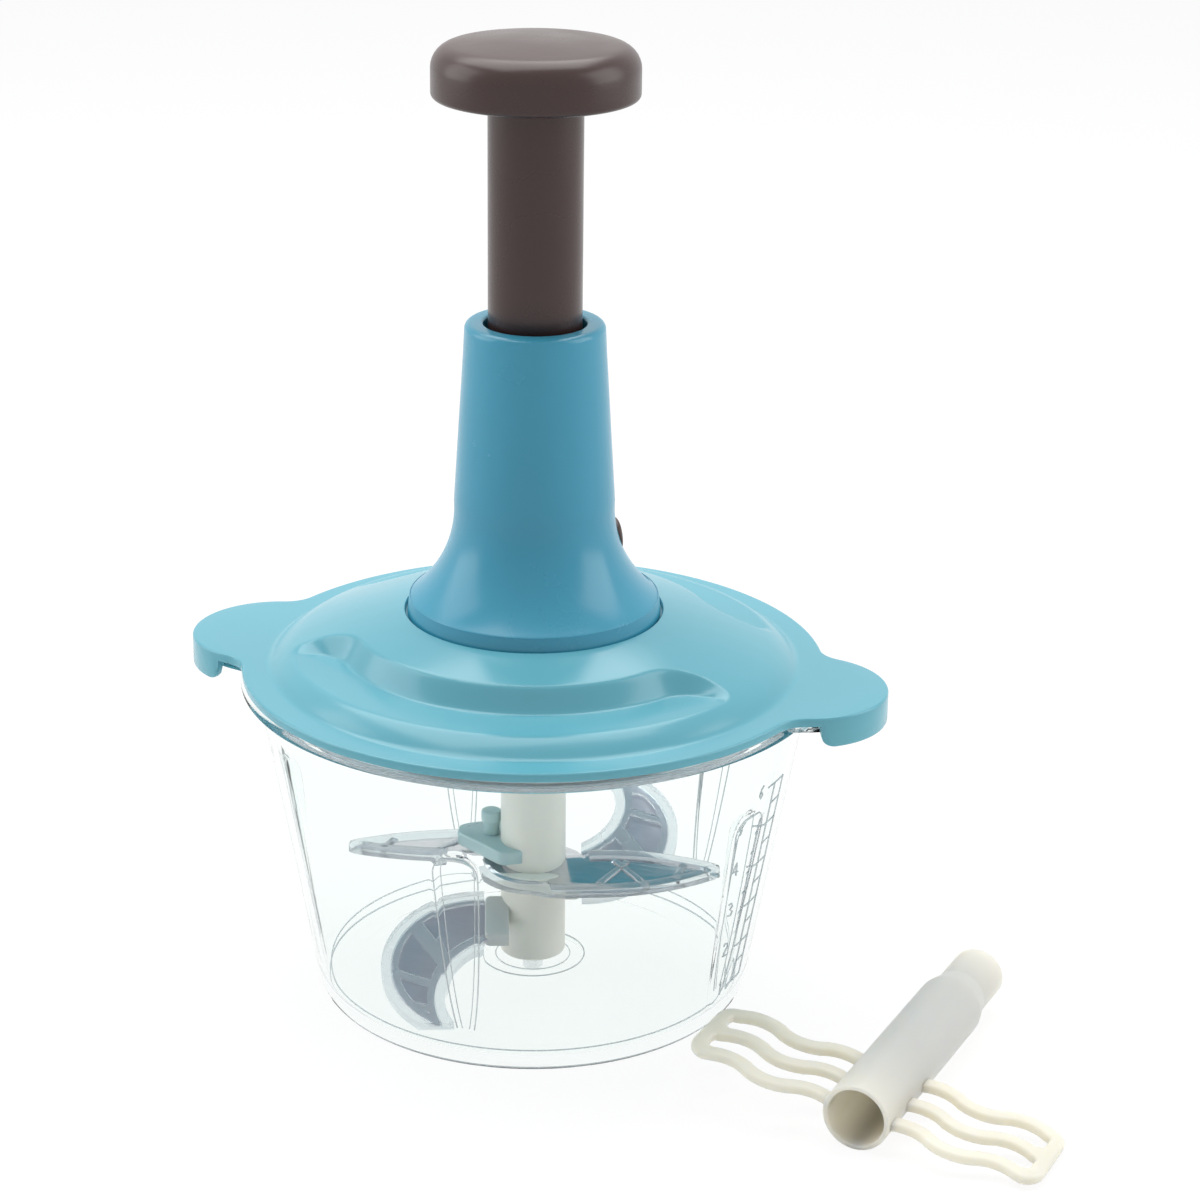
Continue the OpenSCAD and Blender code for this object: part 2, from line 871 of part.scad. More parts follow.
// One unbroken coil of wire, with closed turns at both ends
module coil(r, wire, h, turns, per_turn, sides) {
    rings = turns * per_turn;
    rise = h - wire;
    points = [for (i = [0 : rings]) for (k = [0 : sides - 1])
        coil_point(360 * i / per_turn, k, sides, r, wire / 2, wire / 2 + rise * i / rings)];
    last = rings * sides;
    faces = concat(
        [[for (k = [0 : sides - 1]) k]],
        [[for (k = [sides - 1 : -1 : 0]) last + k]],
        [for (i = [0 : rings - 1]) for (k = [0 : sides - 1])
            [i * sides + k, (i + 1) * sides + k, i * sides + (k + 1) % sides]],
        [for (i = [0 : rings - 1]) for (k = [0 : sides - 1])
            [i * sides + (k + 1) % sides, (i + 1) * sides + k,
                (i + 1) * sides + (k + 1) % sides]]);
    polyhedron(points = points, faces = faces);
}

module return_spring() {
    color(steel)
        translate([0, 0, spring_z])
            coil(spring_r, spring_wire, spring_h, spring_turns, 14, 6);
}

// ---- Drive ----

module drive_screw() {
    color(steel) {
        translate([0, 0, driver_z + driver_t])
            cylinder(r = spindle_r, h = spindle_top - driver_z - driver_t + eps);
        strip(strip_z, strip_top, 0, 66);
    }
}

// The clutch's inner half, fixed on the spindle, with a pocket for each pawl
module clutch_driver() {
    color(white)
        difference() {
            translate([0, 0, driver_z])
                cylinder(r = driver_r + 1.6, h = driver_t - 0.05);
            for (i = [0 : 2])
                rotate([0, 0, i * 120])
                    translate([driver_r - 1.1, 0, driver_z - 1])
                        cylinder(r = 1.6, h = driver_t + 2);
            for (i = [0 : 2])
                rotate([0, 0, i * 120])
                    translate([driver_r - 0.4, -1.2, driver_z - 1])
                        cube([4, 5.2, driver_t + 2]);
        }
}

// Three pawls that catch the ring's teeth one way and slip the other
module clutch_pawls() {
    color(brass)
        for (i = [0 : 2])
            rotate([0, 0, i * 120])
                translate([driver_r - 1.1, 0, driver_z + 0.2])
                    linear_extrude(driver_t - 0.5) {
                        circle(r = 1.4, $fn = 32);
                        polygon([[0.4, -1.2], [2.6, 0.2], [3.3, 2.6], [1.6, 1.6]]);
                    }
}

// The clutch's toothed outer ring, with the hexagon that drives the shaft
module drive_dog() {
    step = 360 / clutch_teeth;
    color(white) {
        translate([0, 0, dog_z])
            cylinder(r = cup_r, h = dog_disc_t);
        translate([0, 0, dog_z + dog_disc_t - eps])
            linear_extrude(cup_h)
                difference() {
                    circle(r = cup_r);
                    polygon([for (i = [0 : clutch_teeth - 1]) each [
                        tooth_in_r * [cos(i * step), sin(i * step)],
                        tooth_out_r * [cos(i * step + 2), sin(i * step + 2)]]]);
                }
        translate([0, 0, dog_z - dog_plug_h])
            rotate([0, 0, blade_turn])
                cylinder(r = dog_hex_r, h = dog_plug_h + eps, $fn = 6);
    }
}

// ---- Blades ----

module blade_shaft() {
    shoulder_z = shaft_top_z - 15;
    color(ivory)
        difference() {
            union() {
                rotate_extrude()
                    polygon([[0, shaft_z], [shaft_r - 0.5, shaft_z], [shaft_r, shaft_z + 0.5],
                        [shaft_r, shoulder_z - 2], [shaft_top_r, shoulder_z],
                        [shaft_top_r, shaft_top_z], [0, shaft_top_z]]);
                blade_lugs();
            }
            sickle_slots();
            translate([0, 0, shaft_z - 1])
                cylinder(r = bush_r + 0.05, h = pin_top + 3 - shaft_z);
            translate([0, 0, shaft_top_z - dog_plug_h - 0.6])
                rotate([0, 0, blade_turn])
                    cylinder(r = dog_hex_r + seat_gap, h = far, $fn = 6);
        }
    color(ivory)
        ring(shaft_r - 1, hub_r - 1.5, blade_z - hub_flange_t - plate_gap, hub_flange_t);
}

module shaft_bush() {
    color(brass)
        ring(pin_r + run_gap, bush_r, shaft_z + 0.3, pin_top - 2 - shaft_z);
}

// Outline of one arm of the flat blade: a leaf along +X with its edge to the front
module leaf(grow) {
    intersection() {
        translate([leaf_in + 12, leaf_r - leaf_front])
            circle(r = leaf_r + grow, $fn = 96);
        translate([leaf_in + 17, -leaf_r - leaf_back])
            circle(r = leaf_r + grow, $fn = 96);
        translate([leaf_in - grow, -far / 2])
            square([flat_reach - leaf_in + 2 * grow, far]);
    }
}

module blade_flat() {
    color(steel)
        rotate([0, 0, blade_turn])
            translate([0, 0, blade_z])
                linear_extrude(blade_t)
                    difference() {
                        union() {
                            circle(r = hub_r);
                            for (turn = [0, 180])
                                rotate(turn)
                                    leaf(0);
                        }
                        circle(r = shaft_r + fit_gap);
                        translate(peg_at)
                            circle(r = peg_r + 0.2);
                    }
}

// Outline of a sickle blade in the tilted plane, to the left and front of the axis
module sickle(grow) {
    intersection() {
        difference() {
            translate(sickle_at)
                circle(r = sickle_r + grow, $fn = 96);
            translate(sickle_cut_at)
                circle(r = sickle_cut_r - grow, $fn = 96);
        }
        translate([-far, -sickle_reach - min(grow, tip_cover)])
            square([far - sickle_root + grow, far]);
    }
}

// Places something in the tilted plane: 0 is the low side, 180 the high one
module on_tilted_plane(turn) {
    rotate([0, 0, blade_turn])
        translate([0, 0, tilt_z])
            rotate([tilt_deg, 0, 0])
                rotate([0, 0, turn])
                    children();
}

module sickle_slots() {
    for (turn = [0, 180])
        on_tilted_plane(turn)
            translate([0, 0, -blade_t / 2 - slot_gap])
                linear_extrude(blade_t + 2 * slot_gap)
                    sickle(slot_gap);
}

// The shaft's lugs, which hold the sickle blades' roots
module blade_lugs() {
    out = -shaft_r - lug_w;
    in = -bush_r - 0.8;
    cut = 1.5;
    for (turn = [0, 180])
        on_tilted_plane(turn)
            translate([0, 0, -lug_t / 2])
                linear_extrude(lug_t)
                    polygon([[in, -lug_low], [out + cut, -lug_low], [out, -lug_low + cut],
                        [out, -lug_high - cut], [out + cut, -lug_high], [in, -lug_high]]);
}

module blade_bent() {
    color(steel)
        for (turn = [0, 180])
            on_tilted_plane(turn)
                translate([0, 0, -blade_t / 2])
                    linear_extrude(blade_t)
                        sickle(0);
}

// The plate that pegs the flat blade to the shaft's flange
module blade_clamp() {
    color([0.70, 0.82, 0.84])
        rotate([0, 0, blade_turn]) {
            difference() {
                translate([0, 0, clamp_z])
                    linear_extrude(clamp_t)
                        hull() {
                            for (c = clamp_corners)
                                translate([c[0], c[1]])
                                    circle(r = c[2], $fn = 32);
                        }
                translate([0, 0, clamp_z - 1])
                    cylinder(r = shaft_r + fit_gap, h = clamp_t + 2);
            }
            translate([peg_at[0], peg_at[1], clamp_z])
                rotate_extrude()
                    polygon([[0, -peg_sink], [peg_r, -peg_sink], [peg_r, peg_h - 4],
                        [peg_r + 0.6, peg_h - 3], [peg_r + 0.6, peg_h - 0.4], [peg_r + 0.2, peg_h],
                        [0, peg_h]]);
        }
}

// A clear cover round a blade: open over the blade's middle, slotted for its edge.
// Each strap across the opening has a centre, a turn and a width.
module guard(straps) {
    translate([0, 0, -guard_t / 2])
        difference() {
            linear_extrude(guard_t)
                difference() {
                    children(0);
                    difference() {
                        children(1);
                        for (s = straps)
                            translate([s[0], s[1]])
                                rotate(s[2])
                                    square([s[3], far], center = true);
                    }
                }
            translate([0, 0, guard_t / 2 - blade_t / 2 - slot_gap])
                linear_extrude(blade_t + 2 * slot_gap)
                    children(2);
        }
}

module guard_flat(turn, root_r) {
    color(clear)
        rotate([0, 0, blade_turn + turn])
            translate([0, 0, blade_z + blade_t / 2])
                difference() {
                    guard(flat_straps) {
                        leaf(guard_w);
                        leaf(-guard_lap);
                        leaf(2 * slot_gap);
                    }
                    translate([0, 0, -guard_t])
                        cylinder(r = root_r, h = 2 * guard_t);
                }
}

module guard_flat_right() {
    guard_flat(0, hub_r + seat_gap);
}

// Starts farther out, to pass the clamp
module guard_flat_left() {
    guard_flat(180, hub_r + clamp_reach);
}

module guard_sickle(turn) {
    color(clear)
        on_tilted_plane(turn)
            intersection() {
                guard(sickle_straps) {
                    sickle(guard_w);
                    sickle(-guard_lap);
                    sickle(2 * slot_gap);
                }
                translate([-far - shaft_r - lug_w - seat_gap, -far / 2, -far / 2])
                    cube(far);
            }
}

module guard_lower() {
    guard_sickle(0);
}

module guard_upper() {
    guard_sickle(180);
}

// ---- Lock button ----

module lock_button() {
    color(brown)
        rotate([0, 0, button_deg])
            translate([button_back_r, 0, button_z])
                rotate([0, 90, 0])
                    difference() {
                        union() {
                            cylinder(r = button_r, h = button_len + 1.2);
                            cylinder(r = button_r + button_lip, h = 1);
                            translate([0, 0, button_len + 1.2])
                                scale([1, 1, 0.15])
                                    sphere(r = button_r);
                        }
                        translate([0, 0, -1])
                            cylinder(r = button_pocket_r, h = 1 + button_pocket_h);
                    }
}

// The small spring behind the button, at its pressed length
module lock_spring() {
    spring_back = sleeve_r + 0.05;
    spring_len = button_back_r + button_pocket_h - button_travel - fit_gap - spring_back;
    color(steel)
        rotate([0, 0, button_deg])
            translate([spring_back, 0, button_z])
                rotate([0, 90, 0])
                    coil(2.6, 0.5, spring_len, 4, 12, 5);
}

// ---- Beater ----

// One bar that waves along +X
module wavy_bar(reach) {
    waves = 3;
    start = shaft_r - 2;
    chord = (reach - start) / waves;
    bow_r = chord * 0.9;
    half = asin(chord / 2 / bow_r);
    for (i = [0 : waves - 1]) {
        side = i % 2 == 0 ? 1 : -1;
        translate([start + (i + 0.5) * chord, side * -bow_r * cos(half)])
            rotate(side * 90)
                intersection() {
                    difference() {
                        circle(r = bow_r + bar_w / 2);
                        circle(r = bow_r - bar_w / 2);
                    }
                    slice(half + 0.5, 2 * bow_r);
                }
    }
}

// One flat frame of three waving bars joined by an end bar
module beater_frame() {
    pitch = (beater_frame_w - bar_w) / 2;
    end_x = beater_reach - bar_w / 2;
    corner = 6;
    linear_extrude(bar_t, center = true) {
        for (i = [0 : 2])
            translate([0, bar_w / 2 + i * pitch])
                wavy_bar(end_x - corner + bar_w / 2 + 0.5);
        translate([end_x, corner])
            translate([-bar_w / 2, 0])
                square([bar_w, beater_frame_w - 2 * corner]);
        for (y = [corner, beater_frame_w - corner])
            translate([end_x + bar_w / 2 - corner, y])
                intersection() {
                    difference() {
                        circle(r = corner);
                        circle(r = corner - bar_w);
                    }
                    translate([0, y == corner ? -corner : 0])
                        square(corner);
                }
        translate([end_x - corner, beater_frame_w / 2 - bar_w / 2])
            square([corner, bar_w]);
    }
}

module beater_tube() {
    rotate([-90, 0, 0])
        rotate_extrude()
            polygon([[beater_in_r, 0], [shaft_r, 0], [shaft_r, beater_taper_at],
                [shaft_top_r, beater_narrow_at], [shaft_top_r, beater_l],
                [shaft_top_r - 1.4, beater_l], [shaft_top_r - 1.4, beater_narrow_at],
                [beater_in_r, beater_taper_at]]);
}

module beater() {
    color(ivory)
        translate([beater_x, beater_y, shaft_r])
            rotate([0, beater_roll, beater_turn])
                union() {
                    beater_tube();
                    difference() {
                        for (side = [0, 1])
                            mirror([side, 0, 0])
                                translate([0, 1, 0])
                                    beater_frame();
                        rotate([-90, 0, 0])
                            translate([0, 0, -1])
                                cylinder(r = beater_in_r + 0.3, h = beater_l);
                    }
                }
}

bowl();
pivot_pin();
lid();
lid_gasket();
neck_housing();
guide_sleeve();
mechanism_plate();
plate_screws();
spindle_bush();
plunger_knob();
plunger_tube();
knob_screw();
drive_nut();
tube_collar();
return_spring();
drive_screw();
clutch_driver();
clutch_pawls();
drive_dog();
blade_shaft();
shaft_bush();
blade_flat();
blade_bent();
blade_clamp();
guard_flat_right();
guard_flat_left();
guard_lower();
guard_upper();
lock_button();
lock_spring();
beater();
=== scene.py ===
"""A plunger food chopper: clear bowl, teal lid with a blue neck, brown press knob, and a loose beater."""

import json
import math

import bmesh
import bpy
from mathutils import Matrix, Vector

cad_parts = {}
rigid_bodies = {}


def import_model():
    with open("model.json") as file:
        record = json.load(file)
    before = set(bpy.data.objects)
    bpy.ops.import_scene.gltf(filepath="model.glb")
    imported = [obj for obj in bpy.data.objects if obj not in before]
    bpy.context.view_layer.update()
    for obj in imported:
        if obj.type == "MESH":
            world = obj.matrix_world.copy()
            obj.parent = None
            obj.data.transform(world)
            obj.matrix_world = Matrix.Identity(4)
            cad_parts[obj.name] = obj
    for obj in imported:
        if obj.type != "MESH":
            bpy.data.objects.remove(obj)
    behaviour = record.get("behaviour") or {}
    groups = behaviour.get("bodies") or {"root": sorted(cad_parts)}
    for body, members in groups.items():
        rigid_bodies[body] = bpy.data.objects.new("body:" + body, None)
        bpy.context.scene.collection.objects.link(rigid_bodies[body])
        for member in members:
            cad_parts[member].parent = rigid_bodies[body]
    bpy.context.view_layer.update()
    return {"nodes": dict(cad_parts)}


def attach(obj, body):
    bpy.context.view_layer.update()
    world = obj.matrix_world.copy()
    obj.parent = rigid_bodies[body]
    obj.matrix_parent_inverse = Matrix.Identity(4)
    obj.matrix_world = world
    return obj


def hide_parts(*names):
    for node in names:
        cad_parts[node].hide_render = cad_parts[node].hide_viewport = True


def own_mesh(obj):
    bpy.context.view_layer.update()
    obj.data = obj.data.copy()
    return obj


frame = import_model()
NODES = frame["nodes"]
MM = 0.001

# ---------------------------------------------------------------- sizes, in mm

BOWL_BASE_R = 63.0
BOWL_TOP_R = 80.0
BOWL_WALL = 2.2
BOWL_FLOOR = 4.0
BOWL_CORNER_R = 5.0
BOWL_H = 98.6
RIM_T = 2.6
RIM_R = 84.5
RIM_UNDER = BOWL_H - RIM_T
BOWL_SLOPE = (BOWL_TOP_R - BOWL_BASE_R) / RIM_UNDER
BASE_HOLLOW = 0.6
BOSS_R = 15.4
BOSS_TOP = 6.6
FLUTES = 5
FLUTE_START = -91.0
FLUTE_R = 7.0
FLUTE_DEPTH = 5.0
FLUTE_TOP = 72.0
FLUTE_FOOT = 8.0
FLUTE_BLEND = 4.0
SCALE_LOW = 13.0
SCALE_HIGH = 78.0
SCALE_MARKS = 6
SCALE_LINE_R = 0.28
DIGIT_H = 4.0
DIGIT_W = 2.6

LID_Z = BOWL_H + 0.3
LID_T = 2.6
LID_TOP = LID_Z + LID_T
LID_R = 84.0
LID_WALL = 2.2
DOME_R = 76.0
SHOULDER_R = 25.0
EDGE_DEG = 48.0
TURN_DEG = 23.0
EAR_REACH = 103.5
EAR_R = 24.0
EAR_BLEND_R = 10.0
EAR_X = EAR_REACH - EAR_R
SKIRT_H = 9.0
SKIRT_T = 2.2
SKIRT_START = 89.0
RECESS_R = 52.0
RECESS_END_R = 17.2
RECESS_HALF_DEG = 54.0
RECESS_Z = LID_TOP + 5.0
RECESS_WALL_W = 4.6
RECESS_LAP = 0.6
RECESS_FADE_DEG = 12.0
PLUG_H = 7.0
PLUG_WALL = 2.0
PLUG_GAP = 1.8

BAND_R = 36.4
BAND_H = 5.5
SEAT_R = BAND_R + 0.5
COLLAR_R = SEAT_R - 2.7
COLLAR_LOW = LID_TOP + 9.2
NECK_TOP_R = 19.7
NECK_WAIST_R = 22.9
WAIST_Z = LID_TOP + 44.5
NECK_TOP = LID_TOP + 100.5
FLARE_R = 34.0
NECK_WALL = 2.4
NECK_HOLE_R = 14.4
LIP_Z = NECK_TOP - 14.5
LIP_R = 17.5
NECK_RAKE = math.atan2(NECK_WAIST_R - NECK_TOP_R, NECK_TOP - WAIST_Z)
FLARE_CX = NECK_WAIST_R + FLARE_R * math.cos(NECK_RAKE)
FLARE_CZ = WAIST_Z + FLARE_R * math.sin(NECK_RAKE)

BUTTON_DEG = 33.0
BUTTON_R = 6.0
BUTTON_Z = LID_TOP + 34.5
BUTTON_GAP = 0.3
BUTTON_LIP = 1.2
DIMPLE_R = 2.0
DIMPLE_Z = BUTTON_Z - 12
DIMPLE_DEG = BUTTON_DEG - 3

TUBE_R = 13.2
TUBE_WALL = 2.2
TUBE_LOW = LIP_Z - 5.5
KNOB_R = 28.7
KNOB_Z = NECK_TOP + 63.0
KNOB_H = 16.0
KNOB_BORE_TOP = KNOB_Z + 9.2
CROWN_R = 18.0
CROWN_H = 0.9
SPRING_R = 8.0
SPRING_WIRE_R = 0.7
SPRING_TURNS = 10
SPRING_LOW = 112.4
SPRING_HIGH = 187.8
SPRING_PRESSED = 17.4

SHAFT_R = 9.6
SHAFT_TOP_R = 7.8
SHAFT_Z = 8.4
SHAFT_TOP = 100.6
SHAFT_SHOULDER = 85.6
BLADE_TURN = 15.7
BLADE_Z = 37.2
BLADE_T = 1.0
HUB_R = 15.0
LEAF_R = 68.0
LEAF_IN = 5.0
LEAF_FRONT = (17.0, 49.5)
LEAF_BACK = (22.0, -69.0)
FLAT_REACH = 53.0
TILT_Z = 24.6
TILT_DEG = 20.5
SICKLE_R = 25.7
SICKLE_AT = (-15.3, -27.5)
SICKLE_CUT_R = 24.3
SICKLE_CUT_AT = (-4.0, -40.0)
SICKLE_REACH = 50.0
SICKLE_ROOT = 8.2
LUG_W = 4.6
LUG_T = 5.0
GUARD_W = 3.0
GUARD_T = 3.0
GUARD_LAP = 2.0
STRAP_W = 2.4
STRAPS = (((19.0, -16.6), (27.6, -4.4)), ((41.6, -13.2), (44.4, -6.0)))
RIGHT_STRAP = ((33.0, -17.0), (24.0, -3.6))
BLADE_LEAN = 0.12
LEAN_SHIFT = 6.0
LEAN_START = 4.0
LEAN_RUN = 14.0
DIVIDE = 0.07
DIVIDE_BLEND = 3.0
GRIND_W = 3.0
CLAMP_Z = 39.8
CLAMP_T = 4.4
CLAMP_CORNERS = ((-22.2, 9.4), (-22.6, 4.6), (-9.4, -10.6), (-1.2, -8.6), (0.9, 11.2), (-4.4, 15.9),
                 (-19.6, 11.0))
CLAMP_CORNER_R = 3.2
PEG_AT = (-12.4, 3.5)

BEATER_L = 96.0
BEATER_REACH = 52.0
BEATER_FRAME_W = 28.0
BAR_W = 4.2
BAR_T = 2.8
BEATER_X = 112.0
BEATER_Y = -77.0
BEATER_TURN = -11.7
BEATER_WALL = 1.4
BEATER_CORNER_R = 6.0
BEATER_RAISE = 1.0


# ---------------------------------------------------------------- materials

def linear(rgb):
    """Scene-linear colour of an 8-bit sRGB one."""
    out = []
    for v in rgb:
        c = v / 255
        out.append(c / 12.92 if c <= 0.04045 else ((c + 0.055) / 1.055) ** 2.4)
    return out + [1.0]


class Shader:
    """A material's node tree, with its Principled shader at hand."""

    def __init__(self, name):
        self.material = bpy.data.materials.new(name)
        self.material.use_nodes = True
        self.tree = self.material.node_tree
        self.main = self.tree.nodes["Principled BSDF"]
        self.coords = self.tree.nodes.new("ShaderNodeTexCoord")

    def node(self, kind, **inputs):
        made = self.tree.nodes.new(kind)
        for key, value in inputs.items():
            made.inputs[key].default_value = value
        return made

    def link(self, a, b):
        self.tree.links.new(a, b)

    def set(self, **values):
        for key, value in values.items():
            self.main.inputs[key.replace("_", " ")].default_value = value

    def noise(self, scale, detail=2.0, stretch=None):
        made = self.node("ShaderNodeTexNoise", Scale=scale, Detail=detail)
        source = self.coords.outputs["Object"]
        if stretch:
            mapping = self.node("ShaderNodeMapping", Scale=stretch)
            self.link(source, mapping.inputs["Vector"])
            source = mapping.outputs["Vector"]
        self.link(source, made.inputs["Vector"])
        return made.outputs["Fac"]

    def spread(self, value, low, high):
        made = self.tree.nodes.new("ShaderNodeMapRange")
        made.inputs["To Min"].default_value = low
        made.inputs["To Max"].default_value = high
        made.inputs["From Min"].default_value = 0.3
        made.inputs["From Max"].default_value = 0.7
        self.link(value, made.inputs["Value"])
        return made.outputs["Result"]

    def two_tone(self, value, dark, light):
        made = self.tree.nodes.new("ShaderNodeMix")
        made.data_type = "RGBA"
        color_in = [s for s in made.inputs if s.type == "RGBA"]
        color_in[0].default_value = dark
        color_in[1].default_value = light
        self.link(value, made.inputs["Factor"])
        color_out = [s for s in made.outputs if s.type == "RGBA"][0]
        self.link(color_out, self.main.inputs["Base Color"])

    def bump(self, height, distance, strength=1.0):
        made = self.node("ShaderNodeBump", Strength=strength, Distance=distance)
        self.link(height, made.inputs["Height"])
        self.link(made.outputs["Normal"], self.main.inputs["Normal"])


def shade(color, k):
    """A scene-linear colour made darker or lighter."""
    return [min(1.0, c * k) for c in color[:3]] + [1.0]


def moulded(name, rgb, rough=0.25, ripple=0.00002, tone=0.04, soft=0.0, soft_color=None,
             depth=0.004):
    """Injection-moulded plastic: faint colour drift, uneven gloss and a slight ripple."""
    s = Shader(name)
    color = linear(rgb)
    drift = s.noise(18.0, 3.0)
    s.two_tone(s.spread(drift, 0.0, 1.0), shade(color, 1 - tone), shade(color, 1 + tone))
    s.link(s.spread(s.noise(55.0, 4.0), rough * 0.85, rough * 1.2), s.main.inputs["Roughness"])
    s.bump(s.noise(140.0, 2.0), ripple)
    s.set(IOR=1.47)
    if soft:
        s.set(Subsurface_Weight=soft, Subsurface_Scale=depth)
        s.main.inputs["Subsurface Radius"].default_value = soft_color or (1.0, 0.8, 0.5)
    return s.material


def clear(name, tint, rough=0.02, ripple=0.00001, ior=1.45, through=1.0):
    """Clear moulded plastic with a faint flow ripple."""
    s = Shader(name)
    s.two_tone(s.spread(s.noise(12.0), 0.0, 1.0), linear(tint), shade(linear(tint), 1.01))
    s.link(s.spread(s.noise(40.0, 3.0), rough * 0.6, rough * 1.5), s.main.inputs["Roughness"])
    s.bump(s.noise(60.0, 2.0, (1.0, 1.0, 0.3)), ripple)
    s.set(Transmission_Weight=through, IOR=ior)
    return s.material


def steel(name, rgb, rough, grain=(1.0, 30.0, 30.0), depth=0.000004, metal=1.0):
    """Rolled steel with its grain along one way."""
    s = Shader(name)
    color = linear(rgb)
    grain_value = s.noise(60.0, 4.0, grain)
    s.two_tone(s.spread(grain_value, 0.0, 1.0), shade(color, 0.94), shade(color, 1.05))
    s.link(s.spread(grain_value, rough * 0.75, rough * 1.3), s.main.inputs["Roughness"])
    s.bump(grain_value, depth)
    s.set(Metallic=metal)
    return s.material


TEAL = moulded("teal plastic", (98, 171, 187), rough=0.2, ripple=0.000003, tone=0.015)
# The neck's plastic is bluer than the lid's teal. Its colour is also made darker as painted shade, for the
# lesser light its upright sides get.
BLUE_WITH_SHADE = moulded("blue plastic with painted shade", (62, 152, 180), rough=0.24, ripple=0.000003, tone=0.015)
BROWN = moulded("brown plastic", (60, 40, 37), rough=0.28)
IVORY = moulded("ivory plastic", (246, 245, 236), rough=0.38, soft=0.15)
CREAM = moulded("cream plastic", (234, 225, 205), rough=0.42, soft=0.8, depth=0.014,
                 soft_color=(1.0, 0.84, 0.6))
WHITE = moulded("white plastic", (232, 232, 228), rough=0.4)
PALE = moulded("pale plastic", (188, 214, 216), rough=0.3, soft=0.3)
LUG = moulded("lug plastic", (208, 213, 213), rough=0.35, soft=0.3)
CLEAR = clear("clear plastic", (250, 253, 252), ior=1.06)
GUARD = clear("guard plastic", (244, 248, 250), rough=0.2, ior=1.22, through=0.84)
BLADE = steel("blade steel", (206, 207, 212), 0.16)
SICKLE = steel("sickle steel", (188, 186, 197), 0.38, metal=0.4)
BRIGHT = steel("bright steel", (236, 238, 240), 0.3)
# For the bowl's raised scale, and for its painted highlight lines.
SCALE_AND_HIGHLIGHT = clear("clear scale and painted highlight", (216, 221, 223), rough=0.15, ior=1.1, through=0.6)
STEEL = steel("plain steel", (168, 170, 174), 0.3)
BRASS = steel("brass", (190, 158, 96), 0.3)
SILICONE = moulded("silicone", (216, 222, 226), rough=0.5, soft=0.2)


# ---------------------------------------------------------------- shapes

def rounded(points, steps=6):
    """A closed outline with its corners rounded: each point is (x, y) or (x, y, radius)."""
    out = []
    for i, point in enumerate(points):
        here = Vector(point[:2])
        r = point[2] if len(point) > 2 else 0
        if r <= 0:
            out.append(tuple(here))
            continue
        back = (Vector(points[i - 1][:2]) - here).normalized()
        ahead = (Vector(points[(i + 1) % len(points)][:2]) - here).normalized()
        half = back.angle(ahead) / 2
        centre = here + (back + ahead).normalized() * r / math.sin(half)
        first = here + back * r / math.tan(half) - centre
        last = here + ahead * r / math.tan(half) - centre
        start = math.atan2(first.y, first.x)
        turn = math.atan2(last.y, last.x) - start
        turn = (turn + math.pi) % (2 * math.pi) - math.pi
        for k in range(steps + 1):
            a = start + turn * k / steps
            out.append((centre.x + r * math.cos(a), centre.y + r * math.sin(a)))
    return out


def dense(points, step, closed=True):
    """The same outline with long runs split, so that a surface can bend between."""
    out = []
    count = len(points) if closed else len(points) - 1
    for i in range(count):
        a, b = Vector(points[i]), Vector(points[(i + 1) % len(points)])
        parts = max(1, math.ceil((b - a).length / step))
        out += [tuple(a.lerp(b, k / parts)) for k in range(parts)]
    if not closed:
        out.append(tuple(points[-1]))
    return out


def arc(cx, cy, r, a0, a1, steps):
    """Points of an arc, in degrees."""
    out = []
    for k in range(steps + 1):
        a = math.radians(a0 + (a1 - a0) * k / steps)
        out.append((cx + r * math.cos(a), cy + r * math.sin(a)))
    return out


def from_points(name, verts, faces):
    """A mesh from points in mm."""
    mesh = bpy.data.meshes.new(name)
    mesh.from_pydata([tuple(c * MM for c in v) for v in verts], [], faces)
    return mesh


def welded(mesh, reach):
    """A mesh opened for work, its doubled points welded and its faces turned outward."""
    bm = bmesh.new()
    bm.from_mesh(mesh)
    bmesh.ops.remove_doubles(bm, verts=bm.verts, dist=reach)
    bmesh.ops.recalc_face_normals(bm, faces=bm.faces)
    return bm


def add(name, verts, faces, body, material, replaces=(), sharp=32.0):
    """A mesh piece from points in mm, shaded smooth except over its sharp edges."""
    mesh = from_points(name, verts, faces)
    return finish_piece(name, mesh, body, material, replaces, sharp)


def finish_piece(name, mesh, body, material, replaces=(), sharp=32.0):
    """Weld, shade and dress a mesh, and let it ride on its body."""
    bm = welded(mesh, 2e-6)
    for face in bm.faces:
        face.smooth = True
    for edge in bm.edges:
        edge.smooth = len(edge.link_faces) == 2 and edge.calc_face_angle(0) < math.radians(sharp)
    bm.to_mesh(mesh)
    bm.free()
    piece = bpy.data.objects.new(name, mesh)
    bpy.context.scene.collection.objects.link(piece)
    mesh.materials.clear()
    mesh.materials.append(material)
    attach(piece, body)
    if replaces:
        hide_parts(*replaces)
    return piece


def skin(rings, n, loop=False, closed=True):
    """Faces between rings of n points each. loop joins the last ring to the first."""
    faces = []
    for i in range(rings if loop else rings - 1):
        j = (i + 1) % rings
        for k in range(n if closed else n - 1):
            m = (k + 1) % n
            faces.append((i * n + k, j * n + k, j * n + m, i * n + m))
    return faces


def end_caps(rings, n):
    """The faces that close a row of rings at both its ends."""
    return [tuple(range(n)), tuple((rings - 1) * n + k for k in reversed(range(n)))]


def placed(place, verts):
    """The points moved by a matrix."""
    return [tuple(place @ Vector(v)) for v in verts]


def revolve(profile, steps, shape=None, closed=True):
    """Points and faces of a profile of (r, z) turned about Z. shape(r, z, angle) may move each point."""
    verts = []
    for i in range(steps):
        a = 2 * math.pi * i / steps
        for r, z in profile:
            if shape:
                r, z = shape(r, z, a)
            verts.append((r * math.cos(a), r * math.sin(a), z))
    return verts, skin(steps, len(profile), True, closed)


